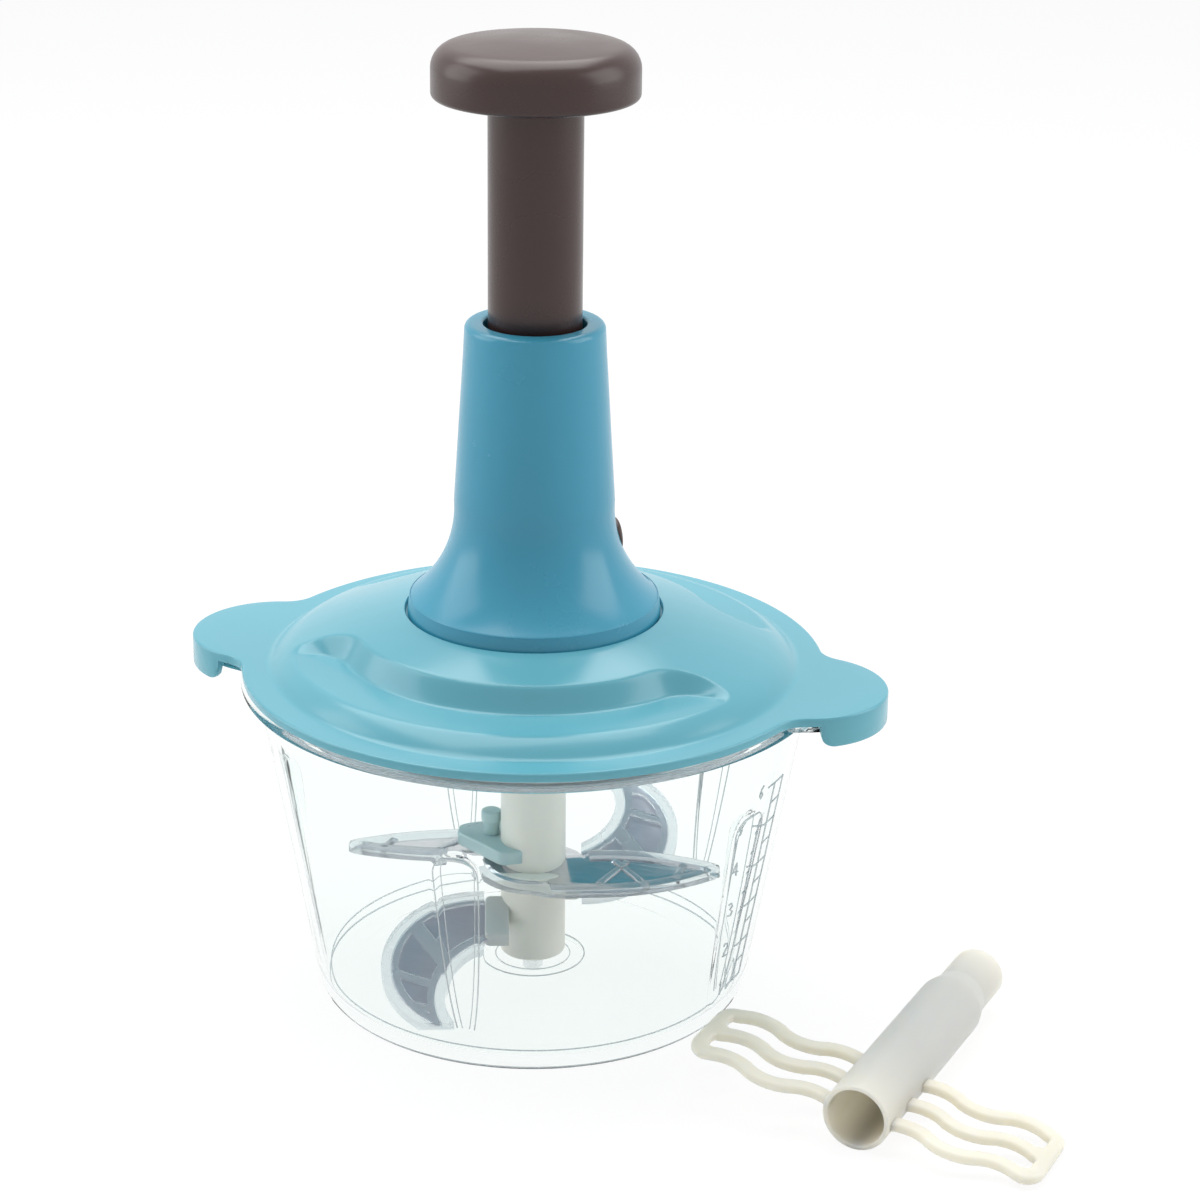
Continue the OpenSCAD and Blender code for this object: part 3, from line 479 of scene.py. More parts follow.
def turned(name, profile, body, material, replaces=(), steps=160, place=None, sharp=32.0):
    """A piece turned about Z from its profile, and then put in place."""
    verts, faces = revolve(profile, steps)
    if place:
        verts = placed(place, verts)
    return add(name, verts, faces, body, material, replaces, sharp)


def plate(name, outlines, thick, edge, place, body, material, replaces=(), sharp=32.0):
    """A flat piece from closed outlines in mm, holes included, with rounded edges."""
    curve = bpy.data.curves.new(name, "CURVE")
    curve.dimensions = "2D"
    curve.fill_mode = "BOTH"
    curve.extrude = (thick / 2 - edge) * MM
    curve.bevel_depth = edge * MM
    curve.bevel_resolution = 2
    curve.offset = -edge * MM
    for outline in outlines:
        spline = curve.splines.new("POLY")
        spline.points.add(len(outline) - 1)
        for point, (x, y) in zip(spline.points, outline):
            point.co = (x * MM, y * MM, 0, 1)
        spline.use_cyclic_u = True
    holder = bpy.data.objects.new(name + "_curve", curve)
    bpy.context.scene.collection.objects.link(holder)
    graph = bpy.context.evaluated_depsgraph_get()
    mesh = bpy.data.meshes.new_from_object(holder.evaluated_get(graph))
    bpy.data.objects.remove(holder)
    to_mm = Matrix.Diagonal((1 / MM, 1 / MM, 1 / MM, 1))
    mesh.transform(Matrix.Diagonal((MM, MM, MM, 1)) @ place @ to_mm)
    mesh.name = name
    return finish_piece(name, mesh, body, material, replaces, sharp)


def tube_along(points, r, sides=8):
    """Points and faces of a round bar along a path of 3-D points."""
    verts = []
    count = len(points)
    for i, p in enumerate(points):
        here = Vector(p)
        ahead = Vector(points[min(i + 1, count - 1)]) - Vector(points[max(i - 1, 0)])
        ahead.normalize()
        side = ahead.cross(Vector((0, 0, 1)))
        if side.length < 0.05:
            side = ahead.cross(Vector((1, 0, 0)))
        side.normalize()
        up = side.cross(ahead)
        for k in range(sides):
            a = 2 * math.pi * k / sides
            verts.append(tuple(here + side * r * math.cos(a) + up * r * math.sin(a)))
    return verts, skin(count, sides) + end_caps(count, sides)


def joined(parts):
    """Several (points, faces) as one."""
    verts, faces = [], []
    for v, f in parts:
        base = len(verts)
        verts += v
        faces += [tuple(i + base for i in face) for face in f]
    return verts, faces


def soft_max(a, b, k):
    """The larger of two, with the crease between them rounded over k."""
    h = max(0.0, k - abs(a - b))
    return max(a, b) + h * h / (4 * k)


def ramp(x):
    """0 below 0, 1 above 1, and a smooth rise between."""
    x = min(1.0, max(0.0, x))
    return x * x * (3 - 2 * x)


# ---------------------------------------------------------------- outline of the lid's ears

def ear_radius(angle, margin=0.0):
    """Distance from the axis to the lid's outline, ears included, shrunk by a margin."""
    body_r, tip_r, blend = LID_R - margin, EAR_R - margin, EAR_BLEND_R + margin
    a, b = body_r + blend, tip_r + blend
    bx = (a * a - b * b + EAR_X * EAR_X) / (2 * EAR_X)
    by = math.sqrt(a * a - bx * bx)
    turn = abs((angle + math.pi / 2) % math.pi - math.pi / 2)
    flange_end = math.atan2(by, bx)
    tip_end = math.atan2(tip_r / b * by, EAR_X + tip_r / b * (bx - EAR_X))
    if turn >= flange_end:
        return body_r
    if turn >= tip_end:
        reach = math.hypot(bx, by)
        off = turn - flange_end
        return reach * math.cos(off) - math.sqrt(blend**2 - (reach * math.sin(off)) ** 2)
    return EAR_X * math.cos(turn) + math.sqrt(tip_r**2 - (EAR_X * math.sin(turn)) ** 2)


# ---------------------------------------------------------------- bowl

def bowl_outer(z):
    """Outer radius of the bowl's wall at a height."""
    return BOWL_BASE_R + BOWL_SLOPE * z


def flute_sink(z, angle):
    """How far a flute sinks into the wall at a height and an angle."""
    pitch = 2 * math.pi / FLUTES
    off = (angle - math.radians(FLUTE_START) + pitch / 2) % pitch - pitch / 2
    across = bowl_outer(z) * off
    arch = FLUTE_TOP - FLUTE_R
    depth = FLUTE_DEPTH * (z - FLUTE_FOOT) / (FLUTE_TOP - FLUTE_FOOT)
    above = max(0.0, z - arch)
    chord = FLUTE_R**2 - across**2 - above**2
    if chord < -20:
        return 0.0
    reach = math.sqrt(chord) if chord > 0 else -math.sqrt(-chord)
    return soft_max(0.0, depth - FLUTE_R + reach, 1.0)


def bowl():
    """The clear bowl as one closed shell, with its flutes, rim, rim tabs and floor boss."""
    lean = math.degrees(math.atan(BOWL_SLOPE))
    reach = BOWL_CORNER_R * math.tan(math.radians(45 - lean / 2))
    inner_r = BOWL_CORNER_R - 1
    inner_reach = inner_r * math.tan(math.radians(45 - lean / 2))
    inner_foot = bowl_outer(BOWL_FLOOR) - BOWL_WALL
    outer = [(0, BASE_HOLLOW), (BOWL_BASE_R - reach - 6, BASE_HOLLOW), (BOWL_BASE_R - reach - 4, 0.0)]
    outer += arc(BOWL_BASE_R - reach, BOWL_CORNER_R, BOWL_CORNER_R, -90, -lean, 10)
    outer += [(BOWL_TOP_R, RIM_UNDER - 0.8), (BOWL_TOP_R + 0.8, RIM_UNDER)]
    rim = rounded([(BOWL_TOP_R + 1, RIM_UNDER), (RIM_R, RIM_UNDER, 1.0), (RIM_R, BOWL_H, 0.8),
                   (BOWL_TOP_R - BOWL_WALL + 1, BOWL_H)], 4)
    inner = [(bowl_outer(BOWL_H) - BOWL_WALL, BOWL_H - 0.6)]
    corner = arc(inner_foot - inner_reach, BOWL_FLOOR + inner_r, inner_r, -90, -lean, 8)
    inner += list(reversed(corner))
    inner += rounded([(BOSS_R + 3, BOWL_FLOOR), (BOSS_R, BOWL_FLOOR, 0.8), (BOSS_R, BOSS_TOP, 0.6),
                      (SHAFT_R + 1.6, BOSS_TOP, 0.4), (SHAFT_R + 1.4, BOSS_TOP - 1), (0, BOSS_TOP - 1)], 3)
    profile = dense(outer, 1.6, False)[:-1] + rim + dense(inner, 1.6, False)

    def shape(r, z, angle):
        sink = 0.0
        if FLUTE_FOOT - FLUTE_BLEND < z < FLUTE_TOP + FLUTE_BLEND and r > BOWL_BASE_R - 6:
            sink = flute_sink(z, angle)
        edge = ear_radius(angle, SKIRT_T + 0.6)
        if r > BOWL_TOP_R + 1.5 and z > RIM_UNDER - 0.1 and edge > RIM_R:
            r += edge - RIM_R
        return r - sink, z

    verts, faces = revolve(profile, 720, shape)
    return add("bowl_shell", verts, faces, "bowl", CLEAR, ["bowl"], 40)


DIGITS = {
    1: [[(0.3, 0.8), (0.5, 1.0), (0.5, 0.0)]],
    2: [[(0.1, 0.8), (0.3, 1.0), (0.7, 0.95), (0.8, 0.7), (0.1, 0.0), (0.85, 0.0)]],
    3: [[(0.1, 0.95), (0.6, 1.0), (0.8, 0.75), (0.4, 0.55), (0.85, 0.3), (0.6, 0.0), (0.1, 0.08)]],
    4: [[(0.7, 0.0), (0.7, 1.0), (0.05, 0.3), (0.95, 0.3)]],
    5: [[(0.85, 1.0), (0.2, 1.0), (0.15, 0.55), (0.6, 0.6), (0.85, 0.3), (0.6, 0.0), (0.1, 0.05)]],
    6: [[(0.75, 1.0), (0.3, 0.75), (0.15, 0.3), (0.45, 0.0), (0.8, 0.25), (0.5, 0.5), (0.2, 0.38)]],
}


def bowl_scale():
    """The raised scale on the bowl's wall: two uprights, long and short ticks, a figure at each long one."""
    left, middle, right = -19.0, -12.0, -7.5
    parts = []

    def on_wall(angle_deg, z, proud=0.05):
        a = math.radians(angle_deg)
        r = bowl_outer(z) - flute_sink(z, a) + proud
        return (r * math.cos(a), r * math.sin(a), z)

    def stroke(points):
        fine = dense(points, 1.0, False)
        parts.append(tube_along([on_wall(a, z) for a, z in fine], SCALE_LINE_R, 6))

    step = (SCALE_HIGH - SCALE_LOW) / (SCALE_MARKS - 1)
    for i in range(SCALE_MARKS):
        z = SCALE_LOW + i * step
        stroke([(middle - 3.2, z), (right, z)])
        for path in DIGITS[i + 1]:
            points = []
            for x, y in path:
                z_here = z - DIGIT_H / 2 + y * DIGIT_H
                width = math.degrees(DIGIT_W / bowl_outer(z_here))
                points.append((left + x * width, z_here))
            stroke(points)
        if i < SCALE_MARKS - 1:
            stroke([(middle, z + step / 2), (right, z + step / 2)])
    stroke([(middle, SCALE_LOW), (middle, SCALE_HIGH)])
    stroke([(right, SCALE_LOW), (right, SCALE_HIGH)])
    verts, faces = joined(parts)
    return add("bowl_scale", verts, faces, "bowl", SCALE_AND_HIGHLIGHT, (), 60)


def flute_edge():
    """Heights and half widths of a flute's outline, from low down to the top of its arch."""
    arch = FLUTE_TOP - FLUTE_R
    low, steps = 14.0, 60
    out = []
    for k in range(steps + 1):
        z = low + (FLUTE_TOP - 0.2 - low) * k / steps
        depth = FLUTE_DEPTH * (z - FLUTE_FOOT) / (FLUTE_TOP - FLUTE_FOOT)
        chord = FLUTE_R**2 - (FLUTE_R - depth) ** 2 - max(0.0, z - arch) ** 2
        if chord <= 0.05:
            break
        out.append((z, math.sqrt(chord)))
    return out


def bowl_painted_highlights():
    """Painted highlights on the bowl: fine bright lines round each flute, at its rim, at its foot and round
    its boss, standing in for the light its clear edges catch.
    """
    parts = []
    edge = flute_edge()
    for i in range(FLUTES):
        middle = math.radians(FLUTE_START) + 2 * math.pi * i / FLUTES
        # Two painted highlight lines per flute: one on its outline, one 1.5 mm inside it.
        for inset, line_r in ((0.0, 0.22), (1.5, 0.16)):
            outline = [(z, -w + inset) for z, w in edge if w > inset + 0.3]
            outline += [(z, w - inset) for z, w in reversed(edge) if w > inset + 0.3]
            points = []
            for z, w in outline:
                a = middle + w / bowl_outer(z)
                r = bowl_outer(z) - flute_sink(z, a) - 0.1
                points.append((r * math.cos(a), r * math.sin(a), z))
            parts.append(tube_along(points, line_r, 6))
    # Painted highlight rings at the foot, the floor's corner, the boss, its hole and under the rim.
    rings = ((BOWL_BASE_R - 1.2, 1.5, 0.3), (BOWL_BASE_R - 2.6, 6.2, 0.2), (BOSS_R, BOSS_TOP, 0.2),
             (SHAFT_R + 1.5, BOSS_TOP, 0.15), (BOWL_TOP_R + 0.2, RIM_UNDER, 0.3))
    for r, z, line_r in rings:
        parts.append(revolve(arc(r, z, line_r, 0, 300, 5), 180))
    verts, faces = joined(parts)
    return add("bowl_painted_highlights", verts, faces, "bowl", SCALE_AND_HIGHLIGHT, (), 60)


# ---------------------------------------------------------------- lid

def dome_height(r, sink=0.0):
    """Height of the dome's surface at a radius, before the recesses."""
    cx = DOME_R - SHOULDER_R * math.sin(math.radians(EDGE_DEG))
    cz = LID_TOP - SHOULDER_R * math.cos(math.radians(EDGE_DEG))
    cap_r = SHOULDER_R + cx / math.sin(math.radians(TURN_DEG))
    cap_z = cz - cx / math.tan(math.radians(TURN_DEG))
    join = cx + (SHOULDER_R - sink) * math.sin(math.radians(TURN_DEG))
    if r < join:
        return cap_z + math.sqrt((cap_r - sink) ** 2 - r * r)
    under = (SHOULDER_R - sink) ** 2 - (r - cx) ** 2
    return cz + math.sqrt(under) if under > 0 else cz - 5


def recess_depth_inside(x, y):
    """How far a point lies inside the finger recess's outline; negative outside it."""
    if y > 0:
        x, y = -x, -y
    r = math.hypot(x, y)
    off = math.degrees(math.atan2(x, -y))
    end = RECESS_R + RECESS_END_R
    if abs(off) < RECESS_HALF_DEG:
        inside = r - RECESS_R
    else:
        side = math.copysign(RECESS_HALF_DEG, off)
        ex, ey = end * math.sin(math.radians(side)), -end * math.cos(math.radians(side))
        inside = RECESS_END_R - math.hypot(x - ex, y - ey)
        over = abs(off) - RECESS_HALF_DEG
        if r > end and over < RECESS_FADE_DEG:
            inside = max(inside, RECESS_END_R - end * math.radians(over))
    return inside


def wall_fall(u):
    """Share of the drop down the recess's wall: rounded at its top, straight, and crisp at its foot."""
    turn = 0.2
    u = min(1.0, max(0.0, u))
    fall = u * u / (2 * turn) if u < turn else u - turn / 2
    return fall / (1 - turn / 2)


def lid_height(r, angle, sink=0.0):
    """Height of the lid's top with its recesses; sink gives the surface that far under it."""
    x, y = r * math.cos(angle), r * math.sin(angle)
    dome = dome_height(r, sink)
    inside = recess_depth_inside(x, y)
    if inside > -RECESS_LAP:
        floor_z = RECESS_Z - sink
        t = wall_fall((inside + RECESS_LAP) / RECESS_WALL_W)
        dip = soft_max(0.0, dome - floor_z, 0.5)
        dome = dome - dip * t
    flat = LID_TOP - sink
    return soft_max(flat, dome, 1.2)


def lid():
    """The domed lid as one closed shell, with the ears in its flange."""
    steps = 900
    edge_r = 0.7
    seat_z = dome_height(SEAT_R)
    inner_r = COLLAR_R + 0.1
    first, last = SEAT_R + 0.9, DOME_R + 3
    rows_top = [SEAT_R + 0.35] + [first + (last - first) * k / 74 for k in range(75)]
    under = DOME_R - LID_WALL
    rows_under = [under - 0.2 - (under - inner_r - 1.2) * k / 40 for k in range(1, 41)]
    verts = []
    for i in range(steps):
        a = 2 * math.pi * i / steps
        reach = ear_radius(a)
        ring = [(inner_r, COLLAR_LOW + 0.1), (inner_r, seat_z - 1.5), (SEAT_R - 0.05, seat_z - 1.5),
                (SEAT_R, lid_height(SEAT_R, a) - 0.5)]
        ring += [(r, lid_height(r, a)) for r in rows_top]
        ring += [(last + (reach - edge_r - last) * k / 4, LID_TOP) for k in range(1, 5)]
        ring += arc(reach - edge_r, LID_TOP - edge_r, edge_r, 80, 0, 4)
        ring += arc(reach - 0.4, LID_Z + 0.4, 0.4, 0, -90, 3)
        ring += [(DOME_R + 1, LID_Z), (under - 0.2, LID_Z)]
        ring += [(r, lid_height(r, a, LID_WALL)) for r in rows_under]
        verts += [(r * math.cos(a), r * math.sin(a), z) for r, z in ring]
    faces = skin(steps, len(ring), True)
    return add("lid_shell", verts, faces, "lid", TEAL, ["lid"], 50)


def lid_plug():
    """The wall under the lid that centres it in the bowl."""
    z = LID_Z - PLUG_H
    r = bowl_outer(z) - BOWL_WALL - PLUG_GAP
    inner_r = r - PLUG_WALL
    profile = rounded([(inner_r, LID_Z + 0.2), (r, LID_Z + 0.2), (r, z, 0.5), (inner_r, z, 0.5)], 3)
    return turned("lid_plug", profile, "lid", TEAL)


def ear_skirts():
    """The hanging wall round each ear's outer part, with rounded lower corners."""
    round_r = 4.0
    low = LID_TOP - SKIRT_H
    parts = []
    limit = math.acos((SKIRT_START - EAR_X) / EAR_R)
    steps = 72
    for side in (0, 1):
        verts = []
        for i in range(steps + 1):
            t = -limit + 2 * limit * i / steps
            cos_t, sin_t = math.cos(t), math.sin(t)
            x = EAR_X + EAR_R * cos_t
            rise = max(0.0, round_r - (x - SKIRT_START))
            bottom = low + round_r - math.sqrt(max(0.0, round_r**2 - rise**2)) if rise > 0 else low
            outer_r, inner_r = EAR_R, EAR_R - SKIRT_T
            ring = [(outer_r, LID_TOP - 0.7), (outer_r, bottom + 0.6), (outer_r - 0.2, bottom + 0.15),
                    (outer_r - 0.6, bottom), (inner_r + 0.6, bottom), (inner_r + 0.15, bottom + 0.2),
                    (inner_r, bottom + 0.6), (inner_r, LID_TOP - 0.7)]
            for r, z in ring:
                x_here, y_here = EAR_X + r * cos_t, r * sin_t
                if side:
                    x_here, y_here = -x_here, -y_here
                verts.append((x_here, y_here, z))
        parts.append((verts, skin(steps + 1, len(ring)) + end_caps(steps + 1, len(ring))))
    verts, faces = joined(parts)
    return add("ear_skirts", verts, faces, "lid", TEAL, (), 50)


# ---------------------------------------------------------------- neck

def flare_radius(z):
    """Radius of the neck's flared foot at a height."""
    return FLARE_CX - math.sqrt(FLARE_R**2 - (z - FLARE_CZ) ** 2)


def neck():
    """The trumpet-shaped neck, with its bottom band, top rounding and button well."""
    seat_z = dome_height(SEAT_R) - 1.4
    band_top = seat_z + BAND_H
    out_r = BAND_R - 0.8
    foot_deg = 180 + math.degrees(math.acos((FLARE_CX - out_r) / FLARE_R))
    top_deg = 180 - math.degrees(NECK_RAKE)
    outer = [(COLLAR_R, COLLAR_LOW), (COLLAR_R, seat_z), (BAND_R - 0.4, seat_z), (BAND_R, seat_z + 0.4)]
    outer += [(out_r + 0.25, band_top - 0.25), (out_r, band_top)]
    outer += arc(FLARE_CX, FLARE_CZ, FLARE_R, foot_deg, top_deg, 40)
    outer += rounded([(NECK_TOP_R + 0.4, NECK_TOP - 8), (NECK_TOP_R, NECK_TOP, 1.8),
                      (NECK_HOLE_R, NECK_TOP, 0.9), (NECK_HOLE_R, LIP_Z), (LIP_R, LIP_Z)], 8)
    inner = [(NECK_WAIST_R - NECK_WALL, WAIST_Z)]
    inner += list(reversed(arc(FLARE_CX, FLARE_CZ, FLARE_R + NECK_WALL, foot_deg - 8, top_deg, 20)))
    inner += [(COLLAR_R - NECK_WALL, seat_z + 2), (COLLAR_R - NECK_WALL, COLLAR_LOW)]
    profile = dense(outer + inner, 3.0)
    verts, faces = revolve(profile, 240)
    # The neck's blue carries painted shade: it is darker than the lid's teal.
    piece = add("neck_shell", verts, faces, "lid", BLUE_WITH_SHADE, ["neck_housing"], 35)
    cutter = button_well_cutter()
    cut = piece.modifiers.new("well", "BOOLEAN")
    cut.operation = "DIFFERENCE"
    cut.object = cutter
    cut.solver = "EXACT"
    graph = bpy.context.evaluated_depsgraph_get()
    mesh = bpy.data.meshes.new_from_object(piece.evaluated_get(graph))
    piece.modifiers.clear()
    piece.data = mesh
    bpy.data.objects.remove(cutter)
    return piece


def button_place():
    """Puts the button's axis level, pointing out of the neck."""
    turn = Matrix.Rotation(math.radians(BUTTON_DEG), 4, "Z")
    out = Matrix.Translation((flare_radius(BUTTON_Z), 0, BUTTON_Z))
    return turn @ out @ Matrix.Rotation(math.pi / 2, 4, "Y")


def button_well_cutter():
    """Cuts the button's hole, and the small dimple below it."""
    well_r = BUTTON_R + BUTTON_GAP
    verts, faces = revolve([(0, -9), (well_r, -9), (well_r, 12), (0, 12)], 64)
    well = (placed(button_place(), verts), faces)
    turn = Matrix.Rotation(math.radians(DIMPLE_DEG), 4, "Z")
    dimple_place = turn @ Matrix.Translation((flare_radius(DIMPLE_Z) + 1.0, 0, DIMPLE_Z))
    verts, faces = revolve(arc(0, 0, DIMPLE_R, -90, 90, 18), 24, closed=False)
    dimple = (placed(dimple_place, verts), faces)
    verts, faces = joined([well, dimple])
    mesh = from_points("cutter", verts, faces)
    bm = welded(mesh, 1e-6)
    bm.to_mesh(mesh)
    bm.free()
    cutter = bpy.data.objects.new("cutter", mesh)
    bpy.context.scene.collection.objects.link(cutter)
    return cutter


def button():
    """The lock button, with a lip behind the neck's wall."""
    lip_r = BUTTON_R + BUTTON_LIP
    profile = rounded([(0, -4.6), (lip_r, -4.6, 0.2), (lip_r, -3.6, 0.2), (BUTTON_R, -3.6),
                       (BUTTON_R, -0.2, 0.9), (3.0, 0.4, 3.0), (0, 0.45)], 5)
    return turned("lock_button_cap", profile, "lock_button", BROWN, ["lock_button"],
                  96, button_place())


# ---------------------------------------------------------------- plunger

def knob():
    """The mushroom knob, hollow under its rim."""
    z = KNOB_Z
    top = KNOB_Z + KNOB_H
    outer = [(TUBE_R + 0.1, z + 5), (TUBE_R + 2.2, z + 5), (TUBE_R + 2.2, z + 0.6, 0.5),
             (TUBE_R + 2.25, z + 0.55), (TUBE_R + 3, z + 1.5), (KNOB_R - 3.4, z + 1.5),
             (KNOB_R - 3.0, z, 0.5), (KNOB_R, z, 1.5), (KNOB_R, top - 2.0, 6.5)]
    crown = [(CROWN_R * (1 - k / 8), top - CROWN_H * (1 - k / 8) ** 2) for k in range(9)]
    profile = rounded(outer + crown + [(0, KNOB_BORE_TOP), (TUBE_R + 0.1, KNOB_BORE_TOP)], 8)
    return turned("knob", dense(profile, 2.5), "plunger", BROWN, ["plunger_knob"], 200)


def tube():
    """The brown tube that slides in the neck."""
    inner_r, top = TUBE_R - TUBE_WALL, KNOB_Z + 9
    profile = rounded([(inner_r, TUBE_LOW), (TUBE_R, TUBE_LOW, 0.4), (TUBE_R, top), (inner_r, top)], 3)
    return turned("press_tube", profile, "plunger", BROWN, ["plunger_tube"], 160)


def return_spring():
    """The long spring round the drive strip: a coil at its full length that rides on the plunger, with a
    mesh of its own.
    """
    low, high, pressed = SPRING_LOW, SPRING_HIGH, SPRING_PRESSED
    steps = SPRING_TURNS * 24
    path = []
    for k in range(steps + 1):
        a = 2 * math.pi * k / 24
        z = low + SPRING_WIRE_R + (high - low - 2 * SPRING_WIRE_R) * k / steps
        path.append((SPRING_R * math.cos(a), SPRING_R * math.sin(a), z))
    verts, faces = tube_along(path, SPRING_WIRE_R, 8)
    piece = add("spring_coil", verts, faces, "plunger", STEEL, ["return_spring"], 50)
    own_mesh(piece)
    return piece


# ---------------------------------------------------------------- blades

SPIN = Matrix.Rotation(math.radians(BLADE_TURN), 4, "Z")
BLADE_PLACE = SPIN @ Matrix.Translation((0, 0, BLADE_Z + BLADE_T / 2))


def tilted(turn):
    """The sickle blades' plane: 0 is the low side, 180 the high one."""
    tilt = Matrix.Rotation(math.radians(TILT_DEG), 4, "X")
    return SPIN @ Matrix.Translation((0, 0, TILT_Z)) @ tilt @ Matrix.Rotation(math.radians(turn), 4, "Z")


def leaf_line(grow, front, x):
    """The flat arm's front or back edge at a distance from the axis."""
    cx, cy = LEAF_FRONT if front else LEAF_BACK
    reach = math.sqrt((LEAF_R + grow) ** 2 - (x - cx) ** 2)
    return cy - reach if front else cy + reach


def leaf_tip(grow):
    """Where the arm's two edges meet, or where it is cut off."""
    x = LEAF_IN + 10
    while x < FLAT_REACH + grow and leaf_line(grow, True, x) < leaf_line(grow, False, x) - 0.5:
        x += 0.05
    return x


def leaf_edge(grow, front, x0, x1, steps=44):
    """Points of one edge between two distances."""
    xs = [x0 + (x1 - x0) * k / steps for k in range(steps + 1)]
    return [(x, leaf_line(grow, front, x)) for x in xs]


def blade_rise(x, y):
    """How far the flat blade's surface is raised: each half leans down to its own cutting edge."""
    def half(px, py):
        return BLADE_LEAN * (py + LEAN_SHIFT * ramp((px - LEAN_START) / LEAN_RUN))

    share = ramp((DIVIDE_BLEND / 2 - (y - DIVIDE * x)) / DIVIDE_BLEND)
    return share * half(x, y) + (1 - share) * half(-x, -y)


def half_blade():
    """Points and faces of the blade's front half: from the left of its hub to the right tip."""
    tip = leaf_tip(0)
    rows = [-HUB_R + 0.02 + 2 * (HUB_R - 0.02) * k / 40 for k in range(41)]
    rows += [HUB_R + (tip - HUB_R) * k / 40 for k in range(1, 41)]
    across = 14
    verts, faces = [], []
    for x in rows:
        hub = -math.sqrt(max(0.0, HUB_R**2 - x * x))
        front = min(hub, leaf_line(0, True, x)) if x > LEAF_IN else hub
        back = DIVIDE * x if x < HUB_R - 0.1 else leaf_line(0, False, x)
        front = min(front, back - 0.05)
        for k in range(across + 1):
            y = front + (back - front) * k / across
            z = blade_rise(x, y)
            thin = min(1.0, 0.15 + (y - front) / GRIND_W)
            verts += [(x, y, z + BLADE_T / 2 * (2 * thin - 1)), (x, y, z - BLADE_T / 2)]
    n = 2 * (across + 1)
    for i in range(len(rows) - 1):
        for k in range(across):
            a, b = i * n + 2 * k, (i + 1) * n + 2 * k
            faces += [(a, b, b + 2, a + 2), (a + 1, a + 3, b + 3, b + 1)]
        a, b = i * n, (i + 1) * n
        faces += [(a, a + 1, b + 1, b)]
        if rows[i] >= HUB_R - 0.1:
            faces += [(a + n - 2, b + n - 2, b + n - 1, a + n - 1)]
    return verts, faces


def flat_blade():
    """The flat blade: two ground arms that lean like a propeller's, in one sheet with their hub."""
    verts, faces = half_blade()
    other = [(-x, -y, z) for x, y, z in verts]
    verts, faces = joined([(verts, faces), (other, faces)])
    verts = placed(BLADE_PLACE, verts)
    return add("flat_blade", verts, faces, "blade", BLADE, ["blade_flat"], 30)


def bar_along(points, wide, thick, sides=12):
    """Points and faces of a flat rounded bar along a path, its width level."""
    verts = []
    count = len(points)
    for i, p in enumerate(points):
        ahead = Vector(points[min(i + 1, count - 1)]) - Vector(points[max(i - 1, 0)])
        side = Vector((ahead.y, -ahead.x, 0)).normalized()
        for k in range(sides):
            a = 2 * math.pi * (k + 0.5) / sides
            across = math.copysign(abs(math.cos(a)) ** 0.5, math.cos(a)) * wide / 2
            rise = math.copysign(abs(math.sin(a)) ** 0.5, math.sin(a)) * thick / 2
            verts.append(tuple(Vector(p) + side * across + Vector((0, 0, rise))))
    return verts, skin(count, sides) + end_caps(count, sides)


def flat_guards():
    """The clear covers round the flat blade's arms: a bar round each edge, with straps across it."""
    middle = (GUARD_W - GUARD_LAP) / 2
    wide = GUARD_W + GUARD_LAP
    tip = leaf_tip(middle) - 0.6
    for name, turn, node in (("guard_right", 1, "guard_flat_right"), ("guard_left", -1, "guard_flat_left")):
        front = arc(0, 0, HUB_R + 1.2, 205, 268, 14) if turn == 1 else []
        front = front + leaf_edge(middle, True, 4.5 if turn == 1 else 22.0, tip)
        back = leaf_edge(middle, False, tip, 16.5 if turn == 1 else 25.0)
        path = dense(front + back, 2.0, False)
        straps = STRAPS + (RIGHT_STRAP,) if turn == 1 else STRAPS
        bars = [(path, wide, GUARD_T)]
        bars += [(dense(strap, 2.0, False), STRAP_W, GUARD_T - 0.8) for strap in straps]
        parts = []
        for points, width, thick in bars:
            raised = [(turn * x, turn * y, blade_rise(x, y)) for x, y in points]
            parts.append(bar_along(raised, width, thick))
        verts, faces = joined(parts)
        add(name, placed(BLADE_PLACE, verts), faces, "blade", GUARD, [node], 60)


def sickle_outline():
    """One sickle blade in the tilted plane: an outer arc, and a hollow one back from the tip."""
    (x1, y1), (x2, y2) = SICKLE_AT, SICKLE_CUT_AT
    root_out = math.degrees(math.acos((-SICKLE_ROOT - x1) / SICKLE_R))
    tip_out = 180 - math.degrees(math.asin((-SICKLE_REACH - y1) / SICKLE_R))
    root_in = math.degrees(math.acos((-SICKLE_ROOT - x2) / SICKLE_CUT_R))
    tip_in = 180 - math.degrees(math.asin((-SICKLE_REACH - y2) / SICKLE_CUT_R))
    return arc(x1, y1, SICKLE_R, root_out, tip_out, 56) + arc(x2, y2, SICKLE_CUT_R, tip_in, root_in, 44)


def sickles():
    """Both sickle blades, which lean across the shaft."""
    for name, turn in (("sickle_low", 0), ("sickle_high", 180)):
        plate(name, [sickle_outline()], BLADE_T, 0.3, tilted(turn), "blade", SICKLE,
              ["blade_bent"])


